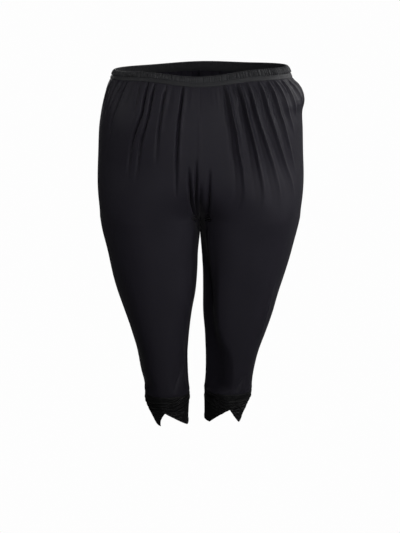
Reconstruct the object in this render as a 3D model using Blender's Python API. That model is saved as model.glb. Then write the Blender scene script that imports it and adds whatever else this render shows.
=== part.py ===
"""Pull-on capri trousers with an elastic waistband and ruched, notched cuffs.

The trousers keep the hollow form that they have when worn.  Every piece is a
closed wall of cloth.  Sizes are in millimetres and are scaled to metres when
the meshes are made.  +Z is up, the front faces -Y, the wearer's left is +X,
and the origin is the centre of the waistband's ring.
"""

import math
from collections import namedtuple

import bmesh
import bpy
from mathutils import Vector

MM = 0.001

# ---------------------------------------------------------------- cloth
CLOTH_WALL = 1.5        # knit of the fronts, backs and cuffs; the band is thicker
SEAM_GAP = 0.3          # between two pieces that are sewn together

# ---------------------------------------------------------------- sides
LEFT, RIGHT = 1, -1     # the wearer's left is +X
SIDE_NAME = {LEFT: "left", RIGHT: "right"}
FRONT, BACK = "front", "back"

# ---------------------------------------------------------------- waistband
BAND_LOW = -9.5         # lower edge at the side seams
BAND_HIGH = 12.5        # upper edge at the side seams
TILT_HIGH = 0.022       # rise of the upper edge to the wearer's left, per mm of X
TILT_LOW = 0.004        # the same for the lower edge
FRONT_DIP = 11.0        # how far the centre front sinks below the sides
DIP_HALF_WIDTH = 130.0  # half the width of that dip
BACK_RISE = 4.0         # how far the centre back stands above the sides
DIP_FADES_AT = -110.0   # below this height the rows of the panels are level
RIB_HEIGHT = 1.2        # shirring ribs above the band's ground
RIBS_PER_QUARTER = 33

# A row for each level of the band, from its upper edge down: the share of its
# height, the share of the ribs' height there, and how far the ground stands
# out from the panels.
BandLevel = namedtuple("BandLevel", "up rib_share proud")
BAND_LEVELS = (
    BandLevel(1.00, 0.55, 0.5),
    BandLevel(0.89, 1.00, 0.9),
    BandLevel(0.45, 1.00, 0.7),
    BandLevel(0.38, 0.00, 1.2),
    BandLevel(0.00, 0.00, 0.9),
)

# ---------------------------------------------------------------- rise and legs
RISE_TOP = -150.0       # above this the centre seam runs straight down
CROTCH = -300.0         # below this each leg is a closed ring
OUTER_POWER = 2.25      # squareness of the outer half of a section
INNER_POWER_CROTCH = 2.9
INNER_POWER_HEM = 2.1
TURN_OUT = 8.0          # degrees that a leg has turned outwards at its hem
FRONT_ANGLE, SIDE_ANGLE, RING = 90.0, 180.0, 360.0     # places round a section

CUFF_SEAM = {LEFT: -728.0, RIGHT: -735.0}
HEM_LOW = {LEFT: -803.0, RIGHT: -811.0}
NOTCH_TOP = {LEFT: -762.0, RIGHT: -773.0}
HEM_BACK = {LEFT: -792.0, RIGHT: -803.0}        # the hem rises a little behind
NOTCH_FLANK_OUT = {LEFT: 66.0, RIGHT: 64.0}     # degrees from the notch's top
NOTCH_FLANK_IN = {LEFT: 58.0, RIGHT: 78.0}
NOTCH_ROUNDING = {LEFT: 1.15, RIGHT: 1.4}       # 1 gives straight flanks

# A row for each section.  The `out` columns are the half widths at the side
# seams, the `in` columns the distance of the inner leg from the middle, and
# `front` and `back` are the Y of the section's two flats.
Section = namedtuple("Section", "z out_left out_right in_left in_right front back")
SECTIONS = (
    Section(14.0, 189.5, 185.0, 0.0, 0.0, -138.0, 132.0),
    Section(0.0, 197.0, 191.5, 0.0, 0.0, -141.0, 136.0),
    Section(-12.0, 203.5, 198.0, 0.0, 0.0, -145.0, 141.0),
    Section(-28.0, 214.5, 205.0, 0.0, 0.0, -151.0, 149.0),
    Section(-45.0, 223.0, 209.5, 0.0, 0.0, -156.0, 157.0),
    Section(-62.0, 226.5, 213.5, 0.0, 0.0, -160.0, 164.0),
    Section(-84.0, 225.0, 218.0, 0.0, 0.0, -163.0, 172.0),
    Section(-120.0, 226.5, 223.0, 0.0, 0.0, -165.0, 181.0),
    Section(-172.0, 228.0, 226.0, 0.0, 0.0, -163.0, 187.0),
    Section(-217.0, 230.0, 228.3, 0.0, 0.0, -158.0, 184.0),
    Section(-250.0, 230.5, 229.4, 0.0, 0.0, -151.0, 176.0),
    Section(-285.0, 228.5, 228.0, 0.3, 0.3, -142.0, 162.0),
    Section(-320.0, 224.0, 224.5, 0.7, 0.7, -131.0, 147.0),
    Section(-354.0, 217.4, 218.3, 1.4, 1.6, -121.0, 134.0),
    Section(-400.0, 206.0, 208.0, 4.3, 5.7, -110.0, 119.0),
    Section(-447.0, 192.5, 199.0, 6.5, 7.4, -100.0, 107.0),
    Section(-494.0, 178.7, 186.6, 6.8, 12.5, -91.0, 97.0),
    Section(-540.0, 165.8, 172.0, 7.4, 21.0, -82.0, 88.0),
    Section(-588.0, 149.4, 156.3, 11.4, 26.8, -73.0, 81.0),
    Section(-636.0, 133.0, 143.3, 13.3, 30.4, -64.0, 75.0),
    Section(-684.0, 122.4, 134.8, 13.2, 29.6, -56.0, 69.0),
    Section(-712.0, 118.6, 128.6, 11.8, 28.0, -52.0, 65.0),
    Section(-728.0, 118.4, 127.6, 9.8, 26.0, -50.5, 63.0),
    Section(-744.0, 115.4, 127.2, 11.4, 25.6, -48.5, 60.5),
    Section(-756.0, 110.6, 125.6, 12.1, 27.2, -46.5, 58.0),
    Section(-768.5, 105.5, 121.0, 12.0, 28.4, -44.0, 55.0),
    Section(-780.7, 99.5, 114.6, 11.9, 28.7, -41.5, 51.5),
    Section(-793.0, 94.8, 108.6, 11.8, 29.0, -39.0, 48.0),
    Section(-811.0, 88.5, 99.5, 11.6, 28.8, -36.0, 43.5),
)

# ---------------------------------------------------------------- rows and columns
GATHER_COLUMNS = 24     # a ridge or a trough on each, under the waistband
LEG_COLUMNS = 16
GATHER_ROWS = (-22.0, -38.0, -62.0, -92.0, -127.0, -164.0, -200.0, -230.0)
CROTCH_ROWS = (-252.0, -270.0, -286.0, CROTCH)
LEG_ROWS = (-327.0, -354.0, -390.0, -430.0, -475.0, -525.0, -580.0, -632.0, -682.0)
ARC_SAMPLES = 96
CUFF_COLUMNS = 40
CUFF_INNER_ROWS = 4

# How far the gathers fan out towards the side seam on the way down: none at
# the band, this share at LEAN_FULL, and none again at LEAN_GONE.
LEAN_FULL = -190.0
LEAN_GONE = -354.0
LEAN = {
    (LEFT, FRONT): 0.72, (RIGHT, FRONT): 0.24,
    (LEFT, BACK): 0.40, (RIGHT, BACK): 0.32,
}

# A row for each gather column: height (+ ridge, - trough) in mm and the Z at
# which the fold has died away.
Gather = namedtuple("Gather", "height ends")
GATHERS = {
    (RIGHT, FRONT): (
        Gather(0.0, -60), Gather(-0.8, -70), Gather(1.6, -190), Gather(-4.4, -255),
        Gather(2.2, -150), Gather(-3.4, -185), Gather(2.0, -140), Gather(-3.8, -205),
        Gather(1.6, -150), Gather(-4.0, -195), Gather(2.2, -120), Gather(-2.0, -90),
        Gather(2.6, -120), Gather(-3.6, -130), Gather(2.0, -110), Gather(-2.4, -95),
        Gather(2.4, -100), Gather(-2.6, -110), Gather(1.8, -90), Gather(-2.2, -85),
        Gather(2.0, -95), Gather(-1.8, -80), Gather(1.4, -80), Gather(-1.2, -70),
    ),
    (LEFT, FRONT): (
        Gather(0.0, -60), Gather(-1.0, -80), Gather(1.0, -75), Gather(-1.6, -110),
        Gather(3.0, -225), Gather(-3.0, -215), Gather(3.4, -262), Gather(-3.6, -235),
        Gather(3.2, -258), Gather(-3.8, -225), Gather(3.2, -240), Gather(-3.4, -190),
        Gather(3.2, -205), Gather(-3.6, -150), Gather(2.8, -130), Gather(-2.8, -105),
        Gather(2.8, -105), Gather(-2.4, -95), Gather(2.2, -85), Gather(-2.2, -85),
        Gather(1.8, -80), Gather(-1.8, -75), Gather(1.4, -70), Gather(-1.0, -65),
    ),
    (RIGHT, BACK): (
        Gather(0.0, -60), Gather(-1.2, -75), Gather(1.8, -90), Gather(-2.4, -105),
        Gather(2.2, -85), Gather(-2.8, -125), Gather(2.6, -140), Gather(-3.2, -120),
        Gather(2.4, -105), Gather(-3.4, -160), Gather(2.8, -135), Gather(-3.0, -115),
        Gather(2.4, -150), Gather(-3.6, -175), Gather(2.6, -120), Gather(-2.6, -110),
        Gather(2.8, -145), Gather(-3.2, -150), Gather(2.2, -110), Gather(-2.6, -95),
        Gather(2.0, -90), Gather(-2.0, -105), Gather(1.4, -80), Gather(-1.0, -70),
    ),
    (LEFT, BACK): (
        Gather(0.0, -60), Gather(-1.4, -80), Gather(2.0, -85), Gather(-2.2, -95),
        Gather(2.6, -120), Gather(-3.0, -130), Gather(2.4, -100), Gather(-2.8, -115),
        Gather(2.8, -145), Gather(-3.4, -170), Gather(2.6, -125), Gather(-2.8, -105),
        Gather(2.6, -135), Gather(-3.4, -155), Gather(2.8, -150), Gather(-2.8, -125),
        Gather(2.4, -105), Gather(-3.0, -140), Gather(2.4, -120), Gather(-2.4, -100),
        Gather(2.0, -95), Gather(-1.8, -85), Gather(1.4, -75), Gather(-1.0, -70),
    ),
}
GATHER_AT_BAND = 0.6    # share of a gather's height at the waistband seam
GATHER_FULL_AT = -38.0
GATHER_FADE_POWER = 1.6     # a gather holds its height and then dies fast

# A row for each long, soft fold: its place across the panel (0 at the centre
# seam or inseam, 1 at the side seam) at both ends, its height and half width.
LongFold = namedtuple("LongFold", "side panel u_top z_top u_low z_low height half_width")
LONG_FOLDS = (
    LongFold(RIGHT, FRONT, 0.78, -470.0, 0.46, -700.0, -4.5, 24.0),
    LongFold(RIGHT, FRONT, 0.20, -640.0, 0.40, -712.0, -2.5, 14.0),
    LongFold(LEFT, FRONT, 0.22, -430.0, 0.40, -705.0, -6.0, 26.0),
    LongFold(LEFT, FRONT, 0.72, -655.0, 0.50, -715.0, -3.0, 14.0),
    LongFold(LEFT, FRONT, 0.80, -500.0, 0.74, -620.0, 3.0, 18.0),
    LongFold(RIGHT, BACK, 0.55, -330.0, 0.30, -470.0, -5.0, 28.0),
    LongFold(LEFT, BACK, 0.60, -340.0, 0.32, -490.0, -5.5, 28.0),
    LongFold(RIGHT, BACK, 0.35, -520.0, 0.62, -640.0, -4.0, 22.0),
    LongFold(LEFT, BACK, 0.40, -540.0, 0.66, -660.0, -4.0, 22.0),
)

LONG_FOLD_BLUNTNESS = 0.7   # below 1 a long fold rises fast at its ends

# A row for each ruched fold of a cuff, from the leg seam down: its height and
# how far round it reaches, in degrees, towards the inner and the outer side.
Ruche = namedtuple("Ruche", "height reach_in reach_out")
RUCHES = {
    LEFT: (
        Ruche(2.2, 118.0, 88.0), Ruche(3.0, 96.0, 104.0), Ruche(2.6, 122.0, 78.0),
        Ruche(3.2, 88.0, 92.0), Ruche(2.6, 104.0, 70.0), Ruche(1.8, 60.0, 52.0),
    ),
    RIGHT: (
        Ruche(2.0, 110.0, 96.0), Ruche(3.2, 124.0, 84.0), Ruche(2.4, 92.0, 108.0),
        Ruche(3.0, 116.0, 90.0), Ruche(2.8, 84.0, 98.0), Ruche(1.6, 56.0, 60.0),
    ),
}
RUCHE_SIDE_SHARE = 0.18     # what is left of a fold beyond its reach
RUCHE_SEWN_DOWN = 0.55      # share of its height that the ruching seam takes
RUCHE_FULL_AT = 18.0        # degrees from that seam where a fold is full


# ---------------------------------------------------------------- interpolation
def smooth_step(value):
    """0 below 0, 1 above 1 and an S-curve between."""
    clamped = min(1.0, max(0.0, value))
    return clamped * clamped * (3.0 - 2.0 * clamped)


def slope_at(rows, column, index):
    """The slope of a column of the section table at one row."""
    above = rows[max(index - 1, 0)]
    below = rows[min(index + 1, len(rows) - 1)]
    return (getattr(below, column) - getattr(above, column)) / (below.z - above.z)


def section_value(column, z):
    """A column of the section table at any height, on a smooth curve."""
    if z >= SECTIONS[0].z:
        return getattr(SECTIONS[0], column) + slope_at(SECTIONS, column, 0) * (z - SECTIONS[0].z)
    last = len(SECTIONS) - 1
    if z <= SECTIONS[last].z:
        return getattr(SECTIONS[last], column)
    index = next(i for i in range(last) if SECTIONS[i + 1].z <= z)
    upper, lower = SECTIONS[index], SECTIONS[index + 1]
    span = lower.z - upper.z
    t = (z - upper.z) / span
    start, end = getattr(upper, column), getattr(lower, column)
    start_slope = slope_at(SECTIONS, column, index) * span
    end_slope = slope_at(SECTIONS, column, index + 1) * span
    return (
        (2 * t ** 3 - 3 * t ** 2 + 1) * start + (t ** 3 - 2 * t ** 2 + t) * start_slope
        + (3 * t ** 2 - 2 * t ** 3) * end + (t ** 3 - t ** 2) * end_slope
    )


# ---------------------------------------------------------------- the body's form
def signed_power(value, power):
    """A power that keeps the sign of its base."""
    return math.copysign(abs(value) ** power, value)


def rise_share(z):
    """0 where the centre seam is straight, 1 at the crotch and below it."""
    return smooth_step((RISE_TOP - z) / (RISE_TOP - CROTCH))


def inner_power(z):
    """Squareness of the inner half of a section: flat where the thighs meet."""
    share = smooth_step((CROTCH - z) / (CROTCH - CUFF_SEAM[RIGHT]))
    return INNER_POWER_CROTCH + (INNER_POWER_HEM - INNER_POWER_CROTCH) * share


def inner_edge(side, z):
    """Distance from the middle plane to the inner face of a leg."""
    column = "in_left" if side == LEFT else "in_right"
    return max(SEAM_GAP / 2, section_value(column, z))


def outer_edge(side, z):
    """Distance from the middle plane to the side seam."""
    return section_value("out_left" if side == LEFT else "out_right", z)


def form_point(side, z, angle):
    """A point of one half of the body.

    The section is an oval.  `angle` is 0 at its inner face, 90 at the front,
    180 at the side seam and 270 at the back.  Above the crotch the ovals of
    the two halves overlap, and their meeting line is the centre seam.
    """
    front, back = section_value("front", z), section_value("back", z)
    inner, outer = inner_edge(side, z), outer_edge(side, z)
    inner_half = (outer_edge(side, min(z, CROTCH)) - inner) / 2
    centre = inner + inner_half * rise_share(z)
    along_x, along_y = math.cos(math.radians(angle)), math.sin(math.radians(angle))
    if along_x > 0:
        half, power = inner_half, 2.0 / inner_power(z)
    else:
        half, power = outer - centre, 2.0 / OUTER_POWER
    x = centre - half * signed_power(along_x, power)
    y = (front + back) / 2 - (back - front) / 2 * signed_power(along_y, power)
    return Vector((side * x, y, z))


def form_normal(side, z, angle):
    """The outward direction at a point of the body."""
    turn, drop = 1.0, 2.0
    along = form_point(side, z, angle + turn) - form_point(side, z, angle - turn)
    down = form_point(side, z - drop, angle) - form_point(side, z + drop, angle)
    return (along.cross(down) * -side).normalized()


def leg_turn(z):
    """Degrees that the seams have turned outwards at a height."""
    return TURN_OUT * smooth_step((CROTCH - z) / (CROTCH - CUFF_SEAM[LEFT]))


def centre_seam_angle(z):
    """Angle at which a section meets the middle plane; 0 below the crotch."""
    share = rise_share(z)
    return math.degrees(math.acos(share ** (inner_power(z) / 2)))


def panel_angles(panel, z):
    """Start and end angle of a panel; a front starts at its inner edge."""
    side_seam = SIDE_ANGLE + leg_turn(z)
    inner_seam = centre_seam_angle(z) + leg_turn(z)
    if panel == FRONT:
        return inner_seam, side_seam
    return RING - centre_seam_angle(z) + leg_turn(z), side_seam


def angles_along(side, panel, z, shares):
    """The angles at the given shares of a panel's width, seam gaps left out."""
    start, end = panel_angles(panel, z)
    samples = [start + (end - start) * k / ARC_SAMPLES for k in range(ARC_SAMPLES + 1)]
    points = [form_point(side, z, angle) for angle in samples]
    lengths = [0.0]
    for here, there in zip(points, points[1:]):
        lengths.append(lengths[-1] + (there - here).length)
    first = SEAM_GAP / 2 if z <= CROTCH else 0.0
    last = lengths[-1] - SEAM_GAP / 2
    angles = []
    for share in shares:
        wanted = first + (last - first) * share
        k = next((i for i in range(ARC_SAMPLES) if lengths[i + 1] >= wanted), ARC_SAMPLES - 1)
        part = (wanted - lengths[k]) / (lengths[k + 1] - lengths[k])
        angles.append(samples[k] + (samples[k + 1] - samples[k]) * part)
    return angles


def waist_shift(point, z):
    """How far the waistline is moved up or down at a point."""
    fade = smooth_step((z - DIP_FADES_AT) / (BAND_LOW - DIP_FADES_AT))
    up_the_band = (z - BAND_LOW) / (BAND_HIGH - BAND_LOW)
    tilt = TILT_LOW + (TILT_HIGH - TILT_LOW) * max(0.0, up_the_band)
    shift = tilt * point.x
    reach = min(1.0, abs(point.x) / DIP_HALF_WIDTH)
    bell = math.cos(math.pi / 2 * reach) ** 2
    shift += -FRONT_DIP * bell if point.y < 0 else BACK_RISE * bell
    return shift * fade


# ---------------------------------------------------------------- folds
def gather_height(side, panel, column, z):
    """Height of the gather on a column of the upper grid."""
    if column == GATHER_COLUMNS:
        return 0.0
    gather = GATHERS[side, panel][column]
    grow = smooth_step((BAND_LOW - z) / (BAND_LOW - GATHER_FULL_AT))
    spent = min(1.0, max(0.0, (GATHER_FULL_AT - z) / (GATHER_FULL_AT - gather.ends)))
    return gather.height * (GATHER_AT_BAND + (1 - GATHER_AT_BAND) * grow) * (
        1.0 - spent ** GATHER_FADE_POWER
    )


def long_fold_height(side, panel, share, z, width):
    """Summed height of the long, soft folds at a place of a panel."""
    total = 0.0
    for fold in LONG_FOLDS:
        if (fold.side, fold.panel) != (side, panel):
            continue
        t = (z - fold.z_top) / (fold.z_low - fold.z_top)
        if not 0.0 < t < 1.0:
            continue
        middle = fold.u_top + (fold.u_low - fold.u_top) * t
        away = (share - middle) * width / fold.half_width
        total += fold.height * math.sin(math.pi * t) ** LONG_FOLD_BLUNTNESS * math.exp(-away * away)
    return total


def column_share(side, panel, column, columns, z):
    """Place of a column across its panel; the gathers fan out to the side."""
    share = column / columns
    grown = smooth_step((BAND_LOW - z) / (BAND_LOW - LEAN_FULL))
    gone = smooth_step((LEAN_FULL - z) / (LEAN_FULL - LEAN_GONE))
    return share + LEAN[side, panel] * grown * (1.0 - gone) * share * (1.0 - share)


# ---------------------------------------------------------------- panels
def panel_rows(side):
    """Heights of a panel's rows as (z, columns), from the waistband down."""
    upper = [BAND_LOW - SEAM_GAP, *GATHER_ROWS, *CROTCH_ROWS]
    lower = [*LEG_ROWS, CUFF_SEAM[side]]
    return [(z, GATHER_COLUMNS) for z in upper] + [(z, LEG_COLUMNS) for z in lower]


def panel_row(side, panel, z, columns, level_rim):
    """One row of (outer, inner) points of a panel."""
    shares = [column_share(side, panel, i, columns, z) for i in range(columns + 1)]
    angles = angles_along(side, panel, z, shares)
    base = [form_point(side, z, angle) for angle in angles]
    width = sum((there - here).length for here, there in zip(base, base[1:]))
    row = []
    for i, (share, angle, point) in enumerate(zip(shares, angles, base)):
        normal = form_normal(side, z, angle)
        if level_rim:
            normal = Vector((normal.x, normal.y, 0.0)).normalized()
        height = long_fold_height(side, panel, share, z, width) if 0 < i < columns else 0.0
        if columns == GATHER_COLUMNS:
            height += gather_height(side, panel, i, z)
        outer = point + normal * height
        outer.z += waist_shift(point, z)
        row.append((outer, outer - normal * CLOTH_WALL))
    return row


def panel_grid(side, panel):
    """All rows of (outer, inner) points of a panel."""
    rows = panel_rows(side)
    return [
        panel_row(side, panel, z, columns, index in (0, len(rows) - 1))
        for index, (z, columns) in enumerate(rows)
    ]


# ---------------------------------------------------------------- meshes
def strip_faces(upper, lower):
    """Triangles between two rows of vertices, which may differ in number."""
    faces = []
    i = j = 0
    last_upper, last_lower = len(upper) - 1, len(lower) - 1
    while i < last_upper or j < last_lower:
        if j < last_lower and (j + 1) * last_upper <= (i + 1) * last_lower:
            faces.append((upper[i], lower[j], lower[j + 1]))
            j += 1
        else:
            faces.append((upper[i], lower[j], upper[i + 1]))
            i += 1
    return faces


def add_material(node, colour, roughness):
    """Give an object its own Principled material."""
    material = bpy.data.materials.new(node.name + "_knit")
    material.use_nodes = True
    shader = material.node_tree.nodes["Principled BSDF"]
    shader.inputs["Base Color"].default_value = (*colour, 1.0)
    shader.inputs["Roughness"].default_value = roughness
    shader.inputs["Metallic"].default_value = 0.0
    material.diffuse_color = (*colour, 1.0)
    node.data.materials.append(material)


def make_node(name, bm, colour, roughness):
    """Turn a bmesh, in millimetres, into a named object in metres."""
    bmesh.ops.scale(bm, vec=(MM, MM, MM), verts=bm.verts)
    bmesh.ops.recalc_face_normals(bm, faces=bm.faces)
    mesh = bpy.data.meshes.new(name)
    bm.to_mesh(mesh)
    bm.free()
    mesh.shade_smooth()
    mesh.set_sharp_from_angle(angle=math.radians(SHARP_ANGLE))
    node = bpy.data.objects.new(name, mesh)
    bpy.context.scene.collection.objects.link(node)
    add_material(node, colour, roughness)
    return node


def build_wall(outer_rows, inner_rows, closed):
    """A closed wall between an outer and an inner grid of points.

    The first and the last rows of the two grids have equal counts and are
    joined by rims.  A closed wall goes all round; an open one also gets rims
    along its two upright edges, where both grids have the same rows.
    """
    bm = bmesh.new()

    def vertices(rows):
        made = [[bm.verts.new(point) for point in row] for row in rows]
        return [row + row[:1] for row in made] if closed else made

    outer, inner = vertices(outer_rows), vertices(inner_rows)
    for grid, flipped in ((outer, False), (inner, True)):
        for upper, lower in zip(grid, grid[1:]):
            for face in strip_faces(upper, lower):
                bm.faces.new(face[::-1] if flipped else face)
    for edge in (0, -1):
        for face in strip_faces(outer[edge], inner[edge]):
            bm.faces.new(face)
    if not closed:
        for end in (0, -1):
            outer_edge = [row[end] for row in outer]
            inner_edge_points = [row[end] for row in inner]
            for face in strip_faces(outer_edge, inner_edge_points):
                bm.faces.new(face)
    return bm


def build_panel(side, panel):
    """A front or a back, from the waistband to the cuff."""
    grid = panel_grid(side, panel)
    outer = [[pair[0] for pair in row] for row in grid]
    inner = [[pair[1] for pair in row] for row in grid]
    return build_wall(outer, inner, closed=False)


# ---------------------------------------------------------------- waistband
def band_ring(z, columns_per_quarter):
    """Points and level outward directions all round, from the centre front."""
    ring = []
    for side, panel, forward in (
        (LEFT, FRONT, True), (LEFT, BACK, False), (RIGHT, BACK, True), (RIGHT, FRONT, False),
    ):
        shares = [i / columns_per_quarter for i in range(columns_per_quarter)]
        if not forward:
            shares = [1.0 - share for share in shares]
        for angle in angles_along(side, panel, z, shares):
            point = form_point(side, z, angle)
            point.z += waist_shift(point, z)
            normal = form_normal(side, z, angle)
            ring.append((point, Vector((normal.x, normal.y, 0.0)).normalized()))
    return ring


def build_waistband():
    """The elastic band: shirring ribs over its upper part, a plain strip below."""
    columns = 2 * RIBS_PER_QUARTER
    outer = []
    for level in BAND_LEVELS:
        z = BAND_LOW + (BAND_HIGH - BAND_LOW) * level.up
        row = []
        for i, (point, normal) in enumerate(band_ring(z, columns)):
            rib = RIB_HEIGHT * level.rib_share * (i % 2)
            row.append(point + normal * (level.proud + rib))
        outer.append(row)
    inner = [
        [point - normal * CLOTH_WALL for point, normal in band_ring(z, columns)]
        for z in (BAND_HIGH, BAND_LOW)
    ]
    return build_wall(outer, inner, closed=True)


# ---------------------------------------------------------------- cuffs
def hem_height(side, own_angle):
    """Height of the hem; the own angle is 0 at the notch, + to the outside."""
    flank = NOTCH_FLANK_OUT[side] if own_angle > 0 else NOTCH_FLANK_IN[side]
    t = min(1.0, abs(own_angle) / flank)
    fall = 1.0 - (1.0 - t) ** NOTCH_ROUNDING[side]
    behind = smooth_step((abs(own_angle) - flank) / (RING / 2 - flank))
    low = HEM_LOW[side] + (HEM_BACK[side] - HEM_LOW[side]) * behind
    return NOTCH_TOP[side] + (low - NOTCH_TOP[side]) * fall


def ruche_share(ruche, own_angle):
    """How much of a ruched fold's height is left at an angle."""
    reach = ruche.reach_out if own_angle > 0 else ruche.reach_in
    fade = smooth_step(abs(own_angle) / reach)
    sewn = 1.0 - smooth_step(abs(own_angle) / RUCHE_FULL_AT)
    return (1.0 - (1.0 - RUCHE_SIDE_SHARE) * fade) * (1.0 - RUCHE_SEWN_DOWN * sewn)


def cuff_point(side, own_angle, down, height):
    """A point of a cuff, `down` from 0 at the leg seam to 1 at the hem."""
    top = CUFF_SEAM[side] - SEAM_GAP
    z = top + (hem_height(side, own_angle) - top) * down
    angle = FRONT_ANGLE + TURN_OUT + own_angle
    normal = form_normal(side, z, angle)
    level = Vector((normal.x, normal.y, 0.0)).normalized()
    return form_point(side, z, angle) + level * height


def build_cuff(side):
    """A band round the leg, drawn up by its seam above the notch."""
    ruches = RUCHES[side]
    own_angles = [RING * i / CUFF_COLUMNS - RING / 2 for i in range(CUFF_COLUMNS)]
    rows = 2 * len(ruches)
    outer = []
    for j in range(rows + 1):
        row = []
        for own_angle in own_angles:
            height = 0.0
            if j % 2:
                ruche = ruches[j // 2]
                height = ruche.height * ruche_share(ruche, own_angle)
            row.append(cuff_point(side, own_angle, j / rows, height))
        outer.append(row)
    inner = [
        [cuff_point(side, angle, j / CUFF_INNER_ROWS, -CLOTH_WALL) for angle in own_angles]
        for j in range(CUFF_INNER_ROWS + 1)
    ]
    return build_wall(outer, inner, closed=True)


# ---------------------------------------------------------------- the trousers
BLACK_KNIT = (0.012, 0.012, 0.014)
BLACK_BAND = (0.018, 0.019, 0.020)
KNIT_ROUGHNESS = 0.55
BAND_ROUGHNESS = 0.65
SHARP_ANGLE = 60.0


def main():
    """Build every piece of the trousers."""
    for scene_object in list(bpy.data.objects):
        bpy.data.objects.remove(scene_object, do_unlink=True)
    make_node("waistband", build_waistband(), BLACK_BAND, BAND_ROUGHNESS)
    for side in (LEFT, RIGHT):
        for panel in (FRONT, BACK):
            name = f"{panel}_{SIDE_NAME[side]}"
            make_node(name, build_panel(side, panel), BLACK_KNIT, KNIT_ROUGHNESS)
        make_node(f"cuff_{SIDE_NAME[side]}", build_cuff(side), BLACK_KNIT, KNIT_ROUGHNESS)


main()
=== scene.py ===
"""Black pull-on capri trousers: the cloth, sewing and finish of every piece.

The trousers keep the hollow form that they have when worn.  Each sewn piece
starts as a flat, fine sheet that is bent onto that form, gets its gathers and
creases, and is then given the thickness of its cloth.  Sizes are millimetres
until a mesh is made.  +Z is up, the front faces -Y, the wearer's left is +X,
and the origin is the centre of the waistband's ring.
"""

import logging
import math
from dataclasses import dataclass
from enum import Enum
from typing import NamedTuple

import bpy
import numpy as np
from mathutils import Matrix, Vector


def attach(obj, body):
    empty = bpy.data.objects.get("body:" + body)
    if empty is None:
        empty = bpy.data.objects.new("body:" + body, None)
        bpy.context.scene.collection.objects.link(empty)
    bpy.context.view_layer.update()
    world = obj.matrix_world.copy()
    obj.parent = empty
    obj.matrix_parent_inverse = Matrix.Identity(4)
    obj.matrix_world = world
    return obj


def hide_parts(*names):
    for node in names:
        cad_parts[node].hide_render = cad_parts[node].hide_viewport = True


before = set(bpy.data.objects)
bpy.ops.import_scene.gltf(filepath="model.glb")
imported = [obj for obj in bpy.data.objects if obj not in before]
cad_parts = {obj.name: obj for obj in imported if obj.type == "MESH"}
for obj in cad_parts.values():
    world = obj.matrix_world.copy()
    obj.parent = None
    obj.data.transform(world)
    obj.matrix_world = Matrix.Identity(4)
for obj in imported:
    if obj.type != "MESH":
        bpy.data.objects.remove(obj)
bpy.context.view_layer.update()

Array = np.ndarray
Piece = bpy.types.Object
Material = bpy.types.Material
Socket = bpy.types.NodeSocket
Triple = tuple[float, float, float]

LOG = logging.getLogger("capri")
MM = 0.001
TURN = 2.0 * math.pi
SAME_PLACE = 0.01 * MM  # points closer than this are one


class Side(Enum):
    """A half of the trousers; the value is the sign of its X."""

    LEFT = 1
    RIGHT = -1


class Face(Enum):
    """A front or a back piece."""

    FRONT = "front"
    BACK = "back"


class Hold(Enum):
    """How a crease begins at its upper end."""

    SEWN = "gathered into the waistband"
    FREE = "rises from nothing and dies away again"


# ---- curves
def smooth_step(value: Array) -> Array:
    """0 below 0, 1 above 1 and an S-curve between."""
    clamped = np.clip(value, 0.0, 1.0)
    return clamped * clamped * (3.0 - 2.0 * clamped)


def signed_power(value: Array, power: Array) -> Array:
    """A power that keeps the sign of its base."""
    return np.sign(value) * np.abs(value) ** power


def bump(distance: Array, half_width: float) -> Array:
    """A round bump: 1 at no distance, about a third at the half width."""
    return np.exp(-((distance / half_width) ** 2))


def unit(vectors: Array) -> Array:
    """Vectors along the last axis, all made 1 long."""
    return vectors / np.linalg.norm(vectors, axis=-1, keepdims=True)


def run_along(points: Array) -> Array:
    """Lengths along a line, or along each of a stack of lines, to every point."""
    steps = np.linalg.norm(np.diff(points, axis=-2), axis=-1)
    return np.concatenate([np.zeros_like(steps[..., :1]), np.cumsum(steps, axis=-1)], axis=-1)


def curve_through(knots: Array, values: Array, at: Array) -> Array:
    """A smooth curve through points, level beyond its two ends.

    Args:
        knots: Places of the points, all rising or all falling.
        values: Values of the points.
        at: Places to read the curve at.

    Returns:
        The curve's value at each place.
    """
    knots, values = np.asarray(knots, float), np.asarray(values, float)
    if knots[0] > knots[-1]:
        knots, values = knots[::-1], values[::-1]
    last = len(knots) - 1
    before = np.clip(np.arange(last + 1) - 1, 0, last)
    after = np.clip(np.arange(last + 1) + 1, 0, last)
    slopes = (values[after] - values[before]) / (knots[after] - knots[before])
    k = np.clip(np.searchsorted(knots, at) - 1, 0, last - 1)
    span = knots[k + 1] - knots[k]
    t = np.clip((at - knots[k]) / span, 0.0, 1.0)
    return (
        (2 * t**3 - 3 * t**2 + 1) * values[k]
        + (t**3 - 2 * t**2 + t) * slopes[k] * span
        + (3 * t**2 - 2 * t**3) * values[k + 1]
        + (t**3 - t**2) * slopes[k + 1] * span
    )


# ---- the worn form
class Section(NamedTuple):
    """A level section of the body: half widths, inner faces and flats, in mm."""

    z: float
    out_left: float
    out_right: float
    in_left: float
    in_right: float
    front: float
    back: float


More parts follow.
